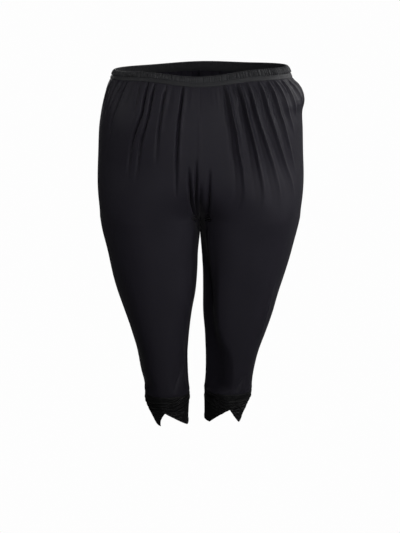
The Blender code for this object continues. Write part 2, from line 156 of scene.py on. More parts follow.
SECTIONS = tuple(Section(*row) for row in (
    (14, 189.5, 185.5, 0, 0, -138, 132),
    (0, 197, 192, 0, 0, -141, 136),
    (-12, 204.5, 198, 0, 0, -145, 141),
    (-28, 220.5, 205, 0, 0, -151, 149),
    (-45, 229, 210, 0, 0, -156, 157),
    (-62, 231, 214.5, 0, 0, -160, 164),
    (-84, 226.5, 219, 0, 0, -163, 172),
    (-120, 228, 224, 0, 0, -165, 181),
    (-172, 230, 227, 0, 0, -163, 187),
    (-217, 232.5, 229.5, 0, 0, -157.5, 184),
    (-250, 232.5, 230, 0, 0, -151, 176),
    (-285, 229.8, 228, 0, 0, -141.8, 162),
    (-320, 225, 224.5, 0, 0, -132.2, 147),
    (-354, 218.4, 219.8, 0.2, 0.3, -122.4, 134),
    (-400, 206.8, 209.8, 3.6, 4.4, -111, 119),
    (-447, 193.2, 200.9, 6.3, 5.8, -100.4, 107),
    (-494, 179.4, 189.4, 6.8, 10, -91, 97),
    (-540, 166.8, 175, 7, 18.5, -82, 88),
    (-588, 150.6, 159, 10.8, 24.4, -73, 81),
    (-636, 134.8, 146.2, 13, 28.4, -64, 75),
    (-684, 124.4, 138, 13, 27.8, -56, 69),
    (-712, 120.8, 131, 11.2, 26.2, -52, 65),
    (-728, 120.8, 128.6, 9, 24.4, -50.5, 63),
    (-744, 117.8, 128, 10.2, 23.6, -48.5, 60.5),
    (-756, 112.2, 126.2, 11.2, 25.6, -46.5, 58),
    (-768.5, 106.8, 121.6, 11.4, 27.2, -44, 55),
    (-780.7, 100.8, 115, 11.5, 27.8, -41.5, 51.5),
    (-793, 96, 109, 11.5, 28.4, -39, 48),
    (-811, 89.4, 99.5, 11.4, 28.4, -36, 43.5),
))


@dataclass(frozen=True)
class TrouserForm:
    """The hollow form of the trousers: two ovals that overlap above the crotch."""

    band_low: float = -9.5  # of the waistband, before the waistline is moved
    band_high: float = 12.5
    tilt_high: float = 0.022  # slope of the waistline, at the band's upper edge
    tilt_low: float = 0.004  # and at its lower one
    front_dip: float = 11.0
    dip_half_width: float = 130.0
    back_rise: float = 4.0
    dip_fades_at: float = -110.0
    rise_top: float = -178.0  # above it the centre seam is straight
    crotch: float = -318.0
    crotch_blend: float = 14.0
    outer_power: float = 2.25  # squareness of a section's outer half
    hips_squarer: float = 0.25  # how much more that is at the hips
    hips_from: float = -25.0
    hips_grow: float = 80.0  # the hips' squareness comes in over this
    hips_end: float = -400.0
    hips_fade: float = 190.0  # and goes out over this
    inner_power_crotch: float = 2.9
    inner_power_hem: float = 2.1
    turn_out: float = 8.0  # degrees that the feet turn outwards
    cuff_seams: tuple[float, float] = (-728.0, -735.0)
    arc_samples: int = 240

    def cuff_seam(self, side: Side) -> float:
        """Height of the seam between a leg and its cuff."""
        return self.cuff_seams[0 if side is Side.LEFT else 1]

    def read(self, column: str, z: Array) -> Array:
        """A column of the section table at any height."""
        heights = [row.z for row in SECTIONS]
        return curve_through(heights, [getattr(row, column) for row in SECTIONS], z)

    def inner_edge(self, side: Side, z: Array) -> Array:
        """Distance from the middle plane to the inner face of a leg."""
        return np.maximum(0.0, self.read(f"in_{side.name.lower()}", z))

    def outer_edge(self, side: Side, z: Array) -> Array:
        """Distance from the middle plane to the side seam."""
        return self.read(f"out_{side.name.lower()}", z)

    def rise_share(self, z: Array) -> Array:
        """0 where the centre seam is straight, 1 at the crotch and below it."""
        return smooth_step((self.rise_top - z) / (self.rise_top - self.crotch))

    def inner_power(self, z: Array) -> Array:
        """Squareness of the inner half of a section: flat where the thighs meet."""
        share = smooth_step((self.crotch - z) / (self.crotch - self.cuff_seam(Side.RIGHT)))
        return self.inner_power_crotch + (self.inner_power_hem - self.inner_power_crotch) * share

    def side_power(self, z: Array) -> Array:
        """Squareness of the outer half of a section: the hips are the squarest."""
        begun, ending = (self.hips_from - z) / self.hips_grow, (z - self.hips_end) / self.hips_fade
        return self.outer_power + self.hips_squarer * smooth_step(begun) * smooth_step(ending)

    def point(self, side: Side, z: Array, angle: Array) -> Array:
        """Points of one half of the body.

        Args:
            side: The half.
            z: Heights.
            angle: Degrees round the section: 0 at its inner face, 90 at the
                front, 180 at the side seam and 270 at the back.

        Returns:
            The points, with their three coordinates along the last axis.
        """
        z, angle = np.broadcast_arrays(np.asarray(z, float), np.asarray(angle, float))
        front, back = self.read("front", z), self.read("back", z)
        inner, outer = self.inner_edge(side, z), self.outer_edge(side, z)
        below = z - self.crotch_blend * np.logaddexp(0.0, (z - self.crotch) / self.crotch_blend)
        inner_half = (self.outer_edge(side, below) - inner) / 2
        centre = inner + inner_half * self.rise_share(z)
        turned = np.radians(angle)
        along_x, along_y = np.cos(turned), np.sin(turned)
        inwards = along_x > 0
        half = np.where(inwards, inner_half, outer - centre)
        power = np.where(inwards, 2.0 / self.inner_power(z), 2.0 / self.side_power(z))
        x = centre - half * signed_power(along_x, power)
        y = (front + back) / 2 - (back - front) / 2 * signed_power(along_y, power)
        return np.stack([side.value * x, y, z], axis=-1)

    def normal(self, side: Side, z: Array, angle: Array) -> Array:
        """The outward directions at points of the body.

        Args:
            side: The half.
            z: Heights.
            angle: Degrees round the section.

        Returns:
            Unit vectors along the last axis.
        """
        turned, dropped = 1.0, 2.0
        along = self.point(side, z, angle + turned) - self.point(side, z, angle - turned)
        down = self.point(side, z - dropped, angle) - self.point(side, z + dropped, angle)
        return unit(np.cross(along, down) * -side.value)

    def level_normal(self, side: Side, z: Array, angle: Array) -> Array:
        """The outward directions, laid level."""
        return unit(self.normal(side, z, angle) * (1.0, 1.0, 0.0))

    def leg_turn(self, z: Array) -> Array:
        """Degrees that the seams have turned outwards at a height."""
        fall = (self.crotch - z) / (self.crotch - self.cuff_seam(Side.LEFT))
        return self.turn_out * smooth_step(fall)

    def spread(self, side: Side, face: Face, z: Array, shares: Array) -> tuple:
        """Angles at given shares of a piece's width.

        Args:
            side: The half.
            face: Front or back.
            z: One height a row.
            shares: Places from 0 at the inner edge to 1 at the side seam, a
                row of them for each height.

        Returns:
            The angles, a row for each height, and the widths of the rows.
        """
        reach = np.degrees(np.arccos(self.rise_share(z) ** (self.inner_power(z) / 2)))
        turn = self.leg_turn(z)
        start = reach + turn if face is Face.FRONT else 360.0 - reach + turn
        end = 180.0 + turn
        steps = np.linspace(0.0, 1.0, self.arc_samples + 1)
        samples = start[:, None] + (end - start)[:, None] * steps
        lengths = run_along(self.point(side, z[:, None], samples))
        angles = [
            np.interp(run[-1] * places, run, row)
            for run, row, places in zip(lengths, samples, shares)
        ]
        return np.array(angles), lengths[:, -1]

    def waist_shift(self, points: Array, z: Array) -> Array:
        """How far the waistline is moved up or down at points of the body.

        Args:
            points: Points of the level form.
            z: Their heights.

        Returns:
            The shift of each point.
        """
        x, y = points[..., 0], points[..., 1]
        fade = smooth_step((z - self.dip_fades_at) / (self.band_low - self.dip_fades_at))
        up = np.maximum(0.0, (z - self.band_low) / (self.band_high - self.band_low))
        tilt = self.tilt_low + (self.tilt_high - self.tilt_low) * up
        bell = np.cos(math.pi / 2 * np.minimum(1.0, np.abs(x) / self.dip_half_width)) ** 2
        return fade * (tilt * x + np.where(y < 0, -self.front_dip * bell, self.back_rise * bell))


FORM = TrouserForm()


# ---- cloth meshes
def deselect_all() -> None:
    """Leave nothing selected, so that an operator acts on the new piece alone."""
    bpy.ops.object.select_all(action="DESELECT")


def cloth(name: str, points: Array, cut: Array, wall: float, closed: bool) -> Piece:
    """A flat, fine sheet that is bent to its worn place.

    Args:
        name: Name of the new piece.
        points: Worn places in mm, by row and column from the lower left corner.
        cut: Places on the flat cut in mm, by row and column.
        wall: Thickness in mm, added on the inside; none if the sheet closes on itself.
        closed: Whether its first and last columns meet, all the way round.

    Returns:
        The sheet, with its cut as its UV map.
    """
    rows, columns = points.shape[:2]
    deselect_all()
    bpy.ops.mesh.primitive_grid_add(x_subdivisions=columns - 1, y_subdivisions=rows - 1, size=1.0)
    sheet = bpy.context.object
    sheet.name = name
    mesh = sheet.data
    mesh.name = name
    mesh.uv_layers[0].name = "Cut"
    mesh.vertices.foreach_set("co", (points * MM).ravel())
    corners = np.empty(len(mesh.loops), dtype=np.int32)
    mesh.loops.foreach_get("vertex_index", corners)
    flat = (cut * MM).reshape(-1, 2)
    mesh.uv_layers["Cut"].data.foreach_set("uv", flat[corners].ravel())
    mesh.update()
    if closed:
        bpy.ops.object.mode_set(mode="EDIT")
        bpy.ops.mesh.select_all(action="SELECT")
        bpy.ops.mesh.remove_doubles(threshold=SAME_PLACE)
        bpy.ops.object.mode_set(mode="OBJECT")
    if wall:
        bpy.ops.object.modifier_add(type="SOLIDIFY")
        solid = sheet.modifiers[-1]
        solid.thickness = wall * MM
        solid.offset = -1.0
        solid.use_quality_normals = True
        bpy.ops.object.modifier_apply(modifier=solid.name)
    return sheet


def shade(piece: Piece, sharp_from: float) -> None:
    """Shade a piece smooth, with its cut edges kept sharp.

    Args:
        piece: The piece.
        sharp_from: Degrees between two faces from which their edge is sharp.
    """
    deselect_all()
    piece.select_set(True)
    bpy.context.view_layer.objects.active = piece
    bpy.ops.object.shade_smooth_by_angle(angle=math.radians(sharp_from))


# ---- shader trees
class Number:
    """A number that varies over a surface, with arithmetic that adds Math nodes."""

    def __init__(self, tree: "ShaderTree", socket: Socket) -> None:
        """Wrap one output socket of a tree."""
        self.tree, self.socket = tree, socket

    def _with(self, operation: str, first: object, second: object = 0.0) -> "Number":
        """The result of one Math node."""
        node = self.tree.node("Math", {0: first, 1: second}, operation=operation)
        return Number(self.tree, node.outputs[0])

    def __add__(self, other: object) -> "Number":
        """This number plus another."""
        return self._with("ADD", self, other)

    def __radd__(self, other: object) -> "Number":
        """Another number plus this one."""
        return self._with("ADD", other, self)

    def __sub__(self, other: object) -> "Number":
        """This number less another."""
        return self._with("SUBTRACT", self, other)

    def __rsub__(self, other: object) -> "Number":
        """Another number less this one."""
        return self._with("SUBTRACT", other, self)

    def __mul__(self, other: object) -> "Number":
        """This number times another."""
        return self._with("MULTIPLY", self, other)

    def __rmul__(self, other: object) -> "Number":
        """Another number times this one."""
        return self._with("MULTIPLY", other, self)

    def sine(self) -> "Number":
        """The sine of this number."""
        return self._with("SINE", self)

    def size(self) -> "Number":
        """This number without its sign."""
        return self._with("ABSOLUTE", self)


class ShaderTree:
    """The node tree of a material or of the world."""

    def __init__(self, owner: bpy.types.ID) -> None:
        """Switch on the nodes of a material or world.

        Args:
            owner: The material or world.
        """
        owner.use_nodes = True
        self.owner = owner
        self.nodes, self.links = owner.node_tree.nodes, owner.node_tree.links

    def node(self, kind: str, sockets: dict | None = None, **settings: object) -> bpy.types.Node:
        """Add a node.

        Args:
            kind: Its type, without the "ShaderNode" at the front.
            sockets: Values, numbers or links of its inputs, by name or index.
            settings: Its properties.

        Returns:
            The new node.
        """
        made = self.nodes.new("ShaderNode" + kind)
        for key, value in settings.items():
            setattr(made, key, value)
        self.fill(made, sockets or {})
        return made

    def fill(self, node: bpy.types.Node, sockets: dict) -> None:
        """Set or link a node's inputs.

        Args:
            node: The node.
            sockets: Values, numbers or links, by the input's name or index.
        """
        for key, value in sockets.items():
            value = value.socket if isinstance(value, Number) else value
            if isinstance(value, Socket):
                self.links.new(value, node.inputs[key])
            else:
                node.inputs[key].default_value = value

    def axes(self, place: Socket) -> list[Number]:
        """The three coordinates of a place."""
        return [Number(self, axis) for axis in self.node("SeparateXYZ", {0: place}).outputs]

    def space(self) -> Socket:
        """Places in the space round the piece, in metres."""
        return self.node("TexCoord").outputs["Object"]

    def noise(self, scale: float, detail: float, roughness: float) -> Number:
        """Noise from 0 to 1 that fills the space round the piece."""
        sockets = {"Vector": self.space(), "Scale": scale, "Detail": detail, "Roughness": roughness}
        return Number(self, self.node("TexNoise", sockets).outputs["Fac"])

    def blend(self, share: Number, low: tuple, high: tuple) -> Socket:
        """A colour between two linear ones, at a share from 0 to 1."""
        sockets = {"Factor": share, 6: (*low, 1.0), 7: (*high, 1.0)}
        return self.node("Mix", sockets, data_type="RGBA").outputs[2]

    def relief(self, height: Number, strength: float, depth: float) -> Socket:
        """The normal of a fine relief of about 0 to 1, whose depth is in metres."""
        sockets = {"Strength": strength, "Distance": depth, "Height": height}
        return self.node("Bump", sockets).outputs[0]

    def two_faced(self, seen: Socket, unseen: Socket, end: str) -> None:
        """Show the camera one shader, and every other ray another.

        Args:
            seen: What the camera sees.
            unseen: What lights the cloth.
            end: Name of the tree's output node.
        """
        camera_ray = self.node("LightPath").outputs["Is Camera Ray"]
        choice = self.node("MixShader", {0: camera_ray, 1: unseen, 2: seen})
        self.fill(self.nodes[end], {"Surface": choice.outputs[0]})


@dataclass(frozen=True)
class KnitFinish:
    """A black knit: fine upright wales, crossed by courses, with a soft sheen."""

    name: str
    shadow: Triple
    lit: Triple
    roughness: float = 0.54
    roughness_range: float = 0.08
    specular: float = 0.17
    sheen: float = 0.04
    sheen_roughness: float = 0.40
    wale: float = 0.0011  # metres from one wale to the next
    course: float = 0.0008  # metres from one course to the next
    depth: float = 0.00012  # metres from a wale's crest to its foot
    relief: float = 0.55  # share of the depth that shows
    straying: float = 1.6  # of a wale from its straight line, in radians
    crossing: float = 0.22  # share of the courses in the relief
    fuzz: float = 0.35  # height of the fuzz over the wales'
    patchiness: float = 0.6  # share of the slow patches in the colour

    def material(self) -> Material:
        """Make the material.

        Returns:
            The finished material.
        """
        tree = ShaderTree(bpy.data.materials.new(self.name))
        across, along, _ = tree.axes(tree.node("UVMap", uv_map="Cut").outputs[0])
        stray = tree.noise(scale=55.0, detail=3.0, roughness=0.5) * self.straying
        wales = (across * (math.pi / self.wale) + stray).sine().size()
        courses = (along * (TURN / self.course) + across * (math.pi / self.wale)).sine()
        fuzz = tree.noise(scale=2600.0, detail=2.0, roughness=0.6) * self.fuzz
        knit = wales * (1.0 - self.crossing + self.crossing * courses) + fuzz
        fibre = tree.noise(scale=900.0, detail=2.0, roughness=0.55)
        patches = tree.noise(scale=9.0, detail=4.0, roughness=0.6)
        shades = self.patchiness * patches + (1.0 - self.patchiness) * fibre
        tree.fill(tree.nodes["Principled BSDF"], {
            "Base Color": tree.blend(shades, self.shadow, self.lit),
            "Roughness": self.roughness + self.roughness_range * (patches + fibre - 1.0),
            "Normal": tree.relief(knit, self.relief, self.depth),
            "Specular IOR Level": self.specular,
            "Sheen Weight": self.sheen,
            "Sheen Roughness": self.sheen_roughness,
        })
        return tree.owner


@dataclass(frozen=True)
class ThreadFinish:
    """Black sewing thread, twisted and a little glossier than the cloth."""

    name: str = "black_thread"
    shadow: Triple = (0.006, 0.006, 0.007)
    lit: Triple = (0.022, 0.022, 0.024)
    roughness: float = 0.42
    roughness_range: float = 0.16
    sheen: float = 0.1
    twist: float = 0.0004  # metres from one turn of the ply to the next
    depth: float = 0.00008  # metres from the ply's crest to its foot
    relief: float = 0.6  # share of the depth that shows

    def material(self) -> Material:
        """Make the material.

        Returns:
            The finished material.
        """
        tree = ShaderTree(bpy.data.materials.new(self.name))
        x, _, z = tree.axes(tree.space())
        ply = 0.5 + 0.5 * ((x + z) * (TURN / self.twist)).sine()
        fibre = tree.noise(scale=1800.0, detail=2.0, roughness=0.6)
        tree.fill(tree.nodes["Principled BSDF"], {
            "Base Color": tree.blend(fibre, self.shadow, self.lit),
            "Roughness": self.roughness + self.roughness_range * fibre,
            "Normal": tree.relief(ply, self.relief, self.depth),
            "Sheen Weight": self.sheen,
        })
        return tree.owner


JERSEY = KnitFinish(
    "black_jersey", shadow=(0.0144, 0.0132, 0.0188), lit=(0.0212, 0.0194, 0.0272),
)
# Painted light, in part: the band's knit has its own greyer tint, and it is also made paler than
# the body's jersey to stand in for the light that falls on the band at the centre front.
BAND_JERSEY_WITH_PAINTED_LIGHT = KnitFinish(
    "shirred_jersey_with_painted_light", shadow=(0.0190, 0.0192, 0.0213), lit=(0.0304, 0.0307, 0.0338),
    roughness=0.56, roughness_range=0.10, specular=0.22, sheen=0.08, sheen_roughness=0.45,
)
# Painted shade: the cuffs are the same jersey as the legs, made about half as bright to stand in
# for the shade in their ruched folds.
CUFF_JERSEY_WITH_PAINTED_SHADE = KnitFinish(
    "cuff_jersey", shadow=(0.0056, 0.0056, 0.0060), lit=(0.0112, 0.0111, 0.0118),
    roughness=0.52,
)


# ---- stitches
@dataclass(frozen=True)
class StitchRow:
    """A row of sewn stitches: small rounded dashes half sunk in the cloth."""

    name: str
    length: float = 2.3  # of one stitch, in mm
    pitch: float = 3.1  # from one stitch to the next
    width: float = 0.55
    height: float = 0.34
    sunk: float = 0.04
    sharp_from: float = 80.0

    def _dash(self) -> tuple[Array, list]:
        """One stitch, lying along X with its top at +Z.

        Returns:
            Its points in mm, and its faces.
        """
        deselect_all()
        bpy.ops.mesh.primitive_uv_sphere_add(segments=6, ring_count=5, radius=0.5)
        model = bpy.context.object
        bpy.ops.object.mode_set(mode="EDIT")
        bpy.ops.mesh.select_all(action="SELECT")
        bpy.ops.transform.resize(value=(self.width, self.height, self.length))
        bpy.ops.object.mode_set(mode="OBJECT")
        points = np.array([tuple(v.co) for v in model.data.vertices])
        faces = sorted(tuple(f.vertices) for f in model.data.polygons)  # their own order varies
        bpy.data.objects.remove(model, do_unlink=True)
        return points[:, [2, 0, 1]], faces

    def sew(self, path: Array, outward: Array) -> Piece:
        """Sew the row along a path on a piece's surface.

        Args:
            path: Points of the surface in mm, close together.
            outward: The surface's outward direction at each point.

        Returns:
            One mesh with every stitch of the row.
        """
        run = run_along(path)
        count = int(run[-1] / self.pitch)
        middles = (np.arange(count) + 0.5) * run[-1] / count
        place, up = self._along(path, run, middles), self._along(outward, run, middles)
        ahead = self._along(path, run, middles + self.length / 2)
        along = unit(ahead - self._along(path, run, middles - self.length / 2))
        across = unit(np.cross(up, along))
        up = np.cross(along, across)
        dash, faces = self._dash()
        points = (
            place[:, None] - up[:, None] * self.sunk
            + dash[None, :, :1] * along[:, None]
            + dash[None, :, 1:2] * across[:, None]
            + dash[None, :, 2:] * up[:, None]
        )
        all_faces = [
            tuple(index + stitch * len(dash) for index in face)
            for stitch in range(count)
            for face in faces
        ]
        mesh = bpy.data.meshes.new(self.name)
        mesh.from_pydata((points.reshape(-1, 3) * MM).tolist(), [], all_faces)
        row = bpy.data.objects.new(self.name, mesh)
        bpy.context.scene.collection.objects.link(row)
        shade(row, self.sharp_from)
        return row

    def _along(self, values: Array, run: Array, at: Array) -> Array:
        """Values at given lengths along the path."""
        return np.stack([np.interp(at, run, column) for column in values.T], axis=1)


# ---- creases
TOP = FORM.band_low
HOLLOW_INSET = 5.4 / 300.0  # of a pinch's hollow from its ridge, in panel widths
HOLLOW_DRIFT = 0.3  # how much further off it is at each next place
HOLLOW_SHARE = 0.45  # of the ridge's height
HOLLOW_WIDTH = 1.2  # over the ridge's


class Field(NamedTuple):
    """Places all over a panel: shares of its width, and each row's height and width."""

    share: Array
    z: Array
    width: Array


@dataclass(frozen=True)
class Crease:
    """A soft ridge or trough of a panel.

    `path` holds its places as (share of the panel's width, z); the share is 0
    at the centre seam or inseam and 1 at the side seam.  A positive height is
    a ridge and a negative one a trough.
    """

    hold: Hold
    height: float
    half_width: float
    path: tuple
    sewn_share: float = 0.50  # of a gather's height at the waistband
    sewn_reach: float = 30.0  # below which it has its full height
    widening: float = 0.45  # how much wider a crease is at its end
    end_power: float = 1.3  # how suddenly a gather ends
    crest_power: float = 1.8  # the higher, the flatter the crest

    def lift(self, at: Field) -> Array:
        """Heights that the crease adds, in mm.

        Args:
            at: Places on the panel.

        Returns:
            The heights, by row and column.
        """
        shares, heights = zip(*self.path)
        top, low = heights[0], heights[-1]
        t = np.clip((top - at.z) / (top - low), 0.0, 1.0)
        away = np.abs(at.share - curve_through(heights, shares, at.z)) * at.width
        away = away / (self.half_width * (1.0 + self.widening * t))
        if self.hold is Hold.SEWN:
            grown = smooth_step((top - at.z) / self.sewn_reach)
            strength = self.sewn_share + (1.0 - self.sewn_share) * grown
            strength = strength * (1.0 - t**3) ** self.end_power
        else:
            strength = np.sin(math.pi * t)
        return self.height * strength * np.exp(-(away**self.crest_power))


@dataclass(frozen=True)
class Fall:
    """Cloth that falls away beside the edge of a fold, which `path` holds."""

    towards: float  # -1 to the panel's inner edge, 1 to the side seam
    depth: float  # halfway from the fold's edge to the panel's
    rim: float  # the fold's edge is rounded over this
    foot: float  # the cloth comes back within this above the cuff
    path: tuple
    growth: float = 0.45  # share of its length over which it deepens

    def lift(self, at: Field) -> Array:
        """Heights that the fall adds, none of them above nought.

        Args:
            at: Places on the panel.

        Returns:
            The heights, by row and column.
        """
        shares, heights = zip(*self.path)
        top, low = heights[0], heights[-1]
        grown = smooth_step((top - at.z) / (self.growth * (top - low)))
        grown = grown * smooth_step((at.z - low) / self.foot)
        edge = curve_through(heights, shares, at.z)
        beyond = np.maximum(self.towards * (at.share - edge) * at.width, 0.0)
        room = (edge if self.towards < 0 else 1.0 - edge) * at.width
        far = np.minimum((beyond**2 / (beyond + self.rim)) * (room + self.rim) / room**2, 1.0)
        return -4.0 * self.depth * grown * far * (1.0 - far)


def loose(height: float, half_width: float, *path: tuple) -> Crease:
    """A crease that rises from nothing and dies away again."""
    return Crease(Hold.FREE, height, half_width, path)


def sewn(height: float, half_width: float, start: float, *below: tuple) -> Crease:
    """A crease that starts in the waistband, at a share of the panel's width."""
    return Crease(Hold.SEWN, height, half_width, ((start, TOP), *below))


def pinch(height: float, half_width: float, start: float, *below: tuple) -> tuple:
    """A narrow gathered ridge with a hollow on the side of the centre seam.

    Args:
        height: Height of the ridge.
        half_width: Half width of the ridge.
        start: Its place in the waistband, as a share of the panel's width.
        below: Its places further down.

    Returns:
        The ridge and its hollow.
    """
    ridge = sewn(height, half_width, start, *below)
    beside = tuple(
        (share - HOLLOW_INSET * (1.0 + HOLLOW_DRIFT * step), z)
        for step, (share, z) in enumerate(ridge.path)
    )
    return ridge, Crease(Hold.SEWN, -HOLLOW_SHARE * height, half_width * HOLLOW_WIDTH, beside)


@dataclass(frozen=True)
class Fan:
    """Gathers that simply fan out, from the centre seam to the side seam."""

    gathers: tuple  # the height and the lower end of each
    lean: float  # towards the side seam on the way down
    seed: float  # sets how uneven they are
    uneven: float = 0.30  # straying from its place, in steps between gathers
    uneven_turn: float = 2.4  # of the straying, from one gather to the next
    lean_reach: float = 180.0  # a gather this long leans in full
    half_width: float = 4.0
    half_width_range: float = 0.8
    half_width_turn: float = 1.7

    def creases(self) -> tuple:
        """The gathers as creases.

        Returns:
            The creases, without any that would lie on the centre seam.
        """
        made = []
        for index, (height, end) in enumerate(self.gathers):
            stray = self.uneven * math.sin(self.uneven_turn * index + self.seed)
            place = (index + stray) / len(self.gathers)
            if place <= 0.0:
                continue
            fallen = smooth_step((TOP - end) / self.lean_reach)
            foot = place + self.lean * fallen * place * (1.0 - place)
            wider = self.half_width_range * math.sin(self.half_width_turn * index + self.seed)
            made.append(sewn(height, self.half_width + wider, place, (foot, end)))
        return tuple(made)


RIGHT_FRONT = (
    sewn(0.8, 4.5, 0.060, (0.067, -75)),
    sewn(2.6, 3.6, 0.115, (0.114, -39), (0.117, -67), (0.125, -115), (0.131, -165),
        (0.135, -240)),
    sewn(-8.4, 2.3, 0.131, (0.131, -39), (0.136, -68), (0.141, -97), (0.146, -129),
        (0.151, -161), (0.155, -200), (0.156, -262)),
    sewn(1.0, 7.0, 0.186, (0.198, -120)),
    sewn(-1.2, 3.4, 0.212, (0.222, -85)),
    sewn(1.5, 4.0, 0.240, (0.250, -70), (0.262, -160)),
    sewn(-6.0, 2.4, 0.257, (0.264, -44), (0.264, -70), (0.278, -135), (0.288, -185)),
    sewn(1.0, 6.0, 0.305, (0.320, -110)),
    sewn(1.8, 3.4, 0.338, (0.344, -75), (0.386, -170)),
    sewn(-8.6, 2.3, 0.353, (0.351, -50), (0.350, -75), (0.363, -103), (0.393, -142),
        (0.425, -225)),
    sewn(1.6, 3.8, 0.384, (0.386, -80), (0.440, -140)),
    sewn(-8.6, 2.3, 0.408, (0.408, -47), (0.402, -73), (0.424, -103), (0.456, -140),
        (0.495, -222)),
    sewn(1.6, 4.2, 0.440, (0.456, -100)),
    sewn(-3.4, 2.2, 0.480, (0.466, -48), (0.462, -85)),
    sewn(1.4, 6.5, 0.512, (0.528, -90)),
    sewn(-1.2, 3.2, 0.540, (0.556, -65)),
    sewn(2.0, 4.0, 0.590, (0.600, -40), (0.628, -85), (0.650, -120)),
    sewn(-8.2, 2.5, 0.604, (0.613, -29), (0.621, -51), (0.635, -78), (0.665, -135)),
    sewn(2.0, 4.0, 0.626, (0.638, -30), (0.674, -53), (0.700, -95)),
    sewn(-2.2, 3.2, 0.662, (0.712, -95)),
    sewn(1.8, 4.2, 0.694, (0.742, -85)),
    sewn(-2.4, 3.2, 0.732, (0.784, -98)),
    sewn(1.7, 4.4, 0.768, (0.815, -80)),
    sewn(-2.0, 3.6, 0.812, (0.856, -82)),
    sewn(1.5, 4.4, 0.852, (0.890, -75)),
    sewn(-1.5, 4.2, 0.905, (0.930, -68)),
    loose(-11.5, 2.7, (0.075, -185), (0.068, -224), (0.064, -251), (0.071, -282), (0.084, -294),
        (0.110, -306), (0.189, -318), (0.169, -328), (0.135, -340), (0.110, -370)),
    loose(1.2, 3.4, (0.048, -190), (0.046, -245), (0.060, -290)),
    loose(-10.0, 2.5, (0.024, -170), (0.025, -224), (0.029, -262), (0.036, -284), (0.050, -297),
        (0.084, -310), (0.146, -321), (0.130, -331), (0.094, -343), (0.070, -365)),
    Fall(1, 5.5, 10.0, 14.0, ((0.735, -345), (0.714, -381), (0.688, -423), (0.652, -459),
        (0.631, -492), (0.619, -526), (0.622, -570), (0.613, -606), (0.607, -644), (0.585, -675),
        (0.552, -704), (0.520, -724))),
    Fall(-1, 3.0, 10.0, 10.0, ((0.300, -550), (0.226, -592), (0.170, -625), (0.140, -656),
        (0.130, -690), (0.130, -724))),
    loose(2.0, 5.5, (0.105, -640), (0.130, -662), (0.175, -686), (0.250, -708), (0.310, -727)),
    loose(-2.2, 4.0, (0.190, -655), (0.225, -680), (0.290, -702), (0.345, -725)),
    loose(1.2, 30.0, (0.520, -330), (0.50, -500)),
)
LEFT_FRONT = (
    sewn(0.7, 4.0, 0.085, (0.094, -65)),
    sewn(0.9, 2.8, 0.116, (0.124, -70)),
    sewn(-0.9, 2.8, 0.138, (0.146, -70)),
    sewn(2.2, 2.4, 0.164, (0.168, -60)),
    *pinch(10.0, 3.3, 0.190, (0.194, -24), (0.202, -54), (0.219, -87), (0.237, -119),
        (0.249, -152), (0.269, -184), (0.281, -220), (0.295, -285)),
    sewn(2.8, 2.3, 0.246, (0.250, -27), (0.266, -58), (0.274, -72)),
    *pinch(9.2, 3.2, 0.293, (0.292, -29), (0.298, -56), (0.316, -89), (0.338, -121),
        (0.359, -153), (0.381, -186), (0.402, -220), (0.436, -300)),
    sewn(2.2, 2.2, 0.328, (0.330, -38), (0.342, -62)),
    *pinch(7.0, 3.2, 0.365, (0.360, -31), (0.365, -58), (0.389, -90), (0.417, -122),
        (0.449, -154), (0.484, -187), (0.511, -222), (0.560, -300)),
    sewn(2.8, 2.3, 0.404, (0.405, -32), (0.405, -60), (0.414, -74)),
    *pinch(6.4, 3.2, 0.457, (0.451, -32), (0.454, -59), (0.480, -91), (0.509, -123),
        (0.545, -156), (0.587, -190), (0.633, -226), (0.680, -280)),
    sewn(2.4, 2.2, 0.483, (0.484, -33), (0.486, -60), (0.494, -72)),
    *pinch(5.6, 3.1, 0.539, (0.532, -33), (0.535, -60), (0.568, -93), (0.599, -126),
        (0.634, -159), (0.690, -215)),
    sewn(2.2, 2.3, 0.572, (0.580, -45), (0.600, -66)),
    *pinch(5.0, 3.1, 0.609, (0.601, -34), (0.611, -61), (0.650, -95), (0.690, -130)),
    sewn(1.8, 2.3, 0.650, (0.654, -40), (0.676, -58)),
    *pinch(3.8, 3.1, 0.691, (0.684, -36), (0.697, -60), (0.735, -92)),
    sewn(-1.4, 3.0, 0.740, (0.752, -40), (0.800, -75)),
    *pinch(2.8, 3.3, 0.777, (0.789, -36), (0.847, -72)),
    *pinch(2.4, 3.5, 0.847, (0.902, -68)),
    sewn(-1.4, 4.0, 0.905, (0.945, -60)),
    loose(-13.0, 3.0, (0.061, -190), (0.058, -231), (0.059, -254), (0.072, -279), (0.094, -293),
        (0.139, -307), (0.223, -320), (0.206, -344), (0.193, -367), (0.177, -390), (0.168, -450)),
    loose(2.0, 6.0, (0.022, -225), (0.028, -262), (0.040, -290)),
    Fall(-1, 8.0, 6.0, 60.0, ((0.072, -265), (0.076, -282), (0.121, -298), (0.203, -313),
        (0.260, -326), (0.255, -354), (0.242, -382), (0.228, -411), (0.216, -440), (0.212, -482),
        (0.214, -540))),
    loose(2.2, 8.0, (0.262, -335), (0.240, -380), (0.214, -430), (0.200, -490), (0.190, -560)),
    Fall(-1, 16.0, 9.0, 14.0, ((0.350, -350), (0.323, -413), (0.302, -461), (0.296, -497),
        (0.295, -540), (0.312, -576), (0.366, -605), (0.439, -629), (0.485, -666), (0.490, -703),
        (0.475, -724))),
    loose(-3.6, 4.2, (0.655, -672), (0.631, -681), (0.589, -697), (0.549, -714), (0.529, -726)),
    loose(2.6, 4.0, (0.735, -455), (0.731, -494), (0.729, -521), (0.724, -550), (0.736, -600)),
    loose(1.4, 30.0, (0.560, -330), (0.60, -500)),
)
RIGHT_GATHERS = (
    (0.0, -60), (-1.2, -75), (1.8, -90), (-2.4, -105), (2.2, -85), (-2.8, -125),
    (2.6, -140), (-3.2, -120), (2.4, -105), (-3.4, -160), (2.8, -135), (-3.0, -115),
    (2.4, -150), (-3.6, -175), (2.6, -120), (-2.6, -110), (2.8, -145), (-3.2, -150),
    (2.2, -110), (-2.6, -95), (2.0, -90), (-2.0, -105), (1.4, -80), (-1.0, -70),
)
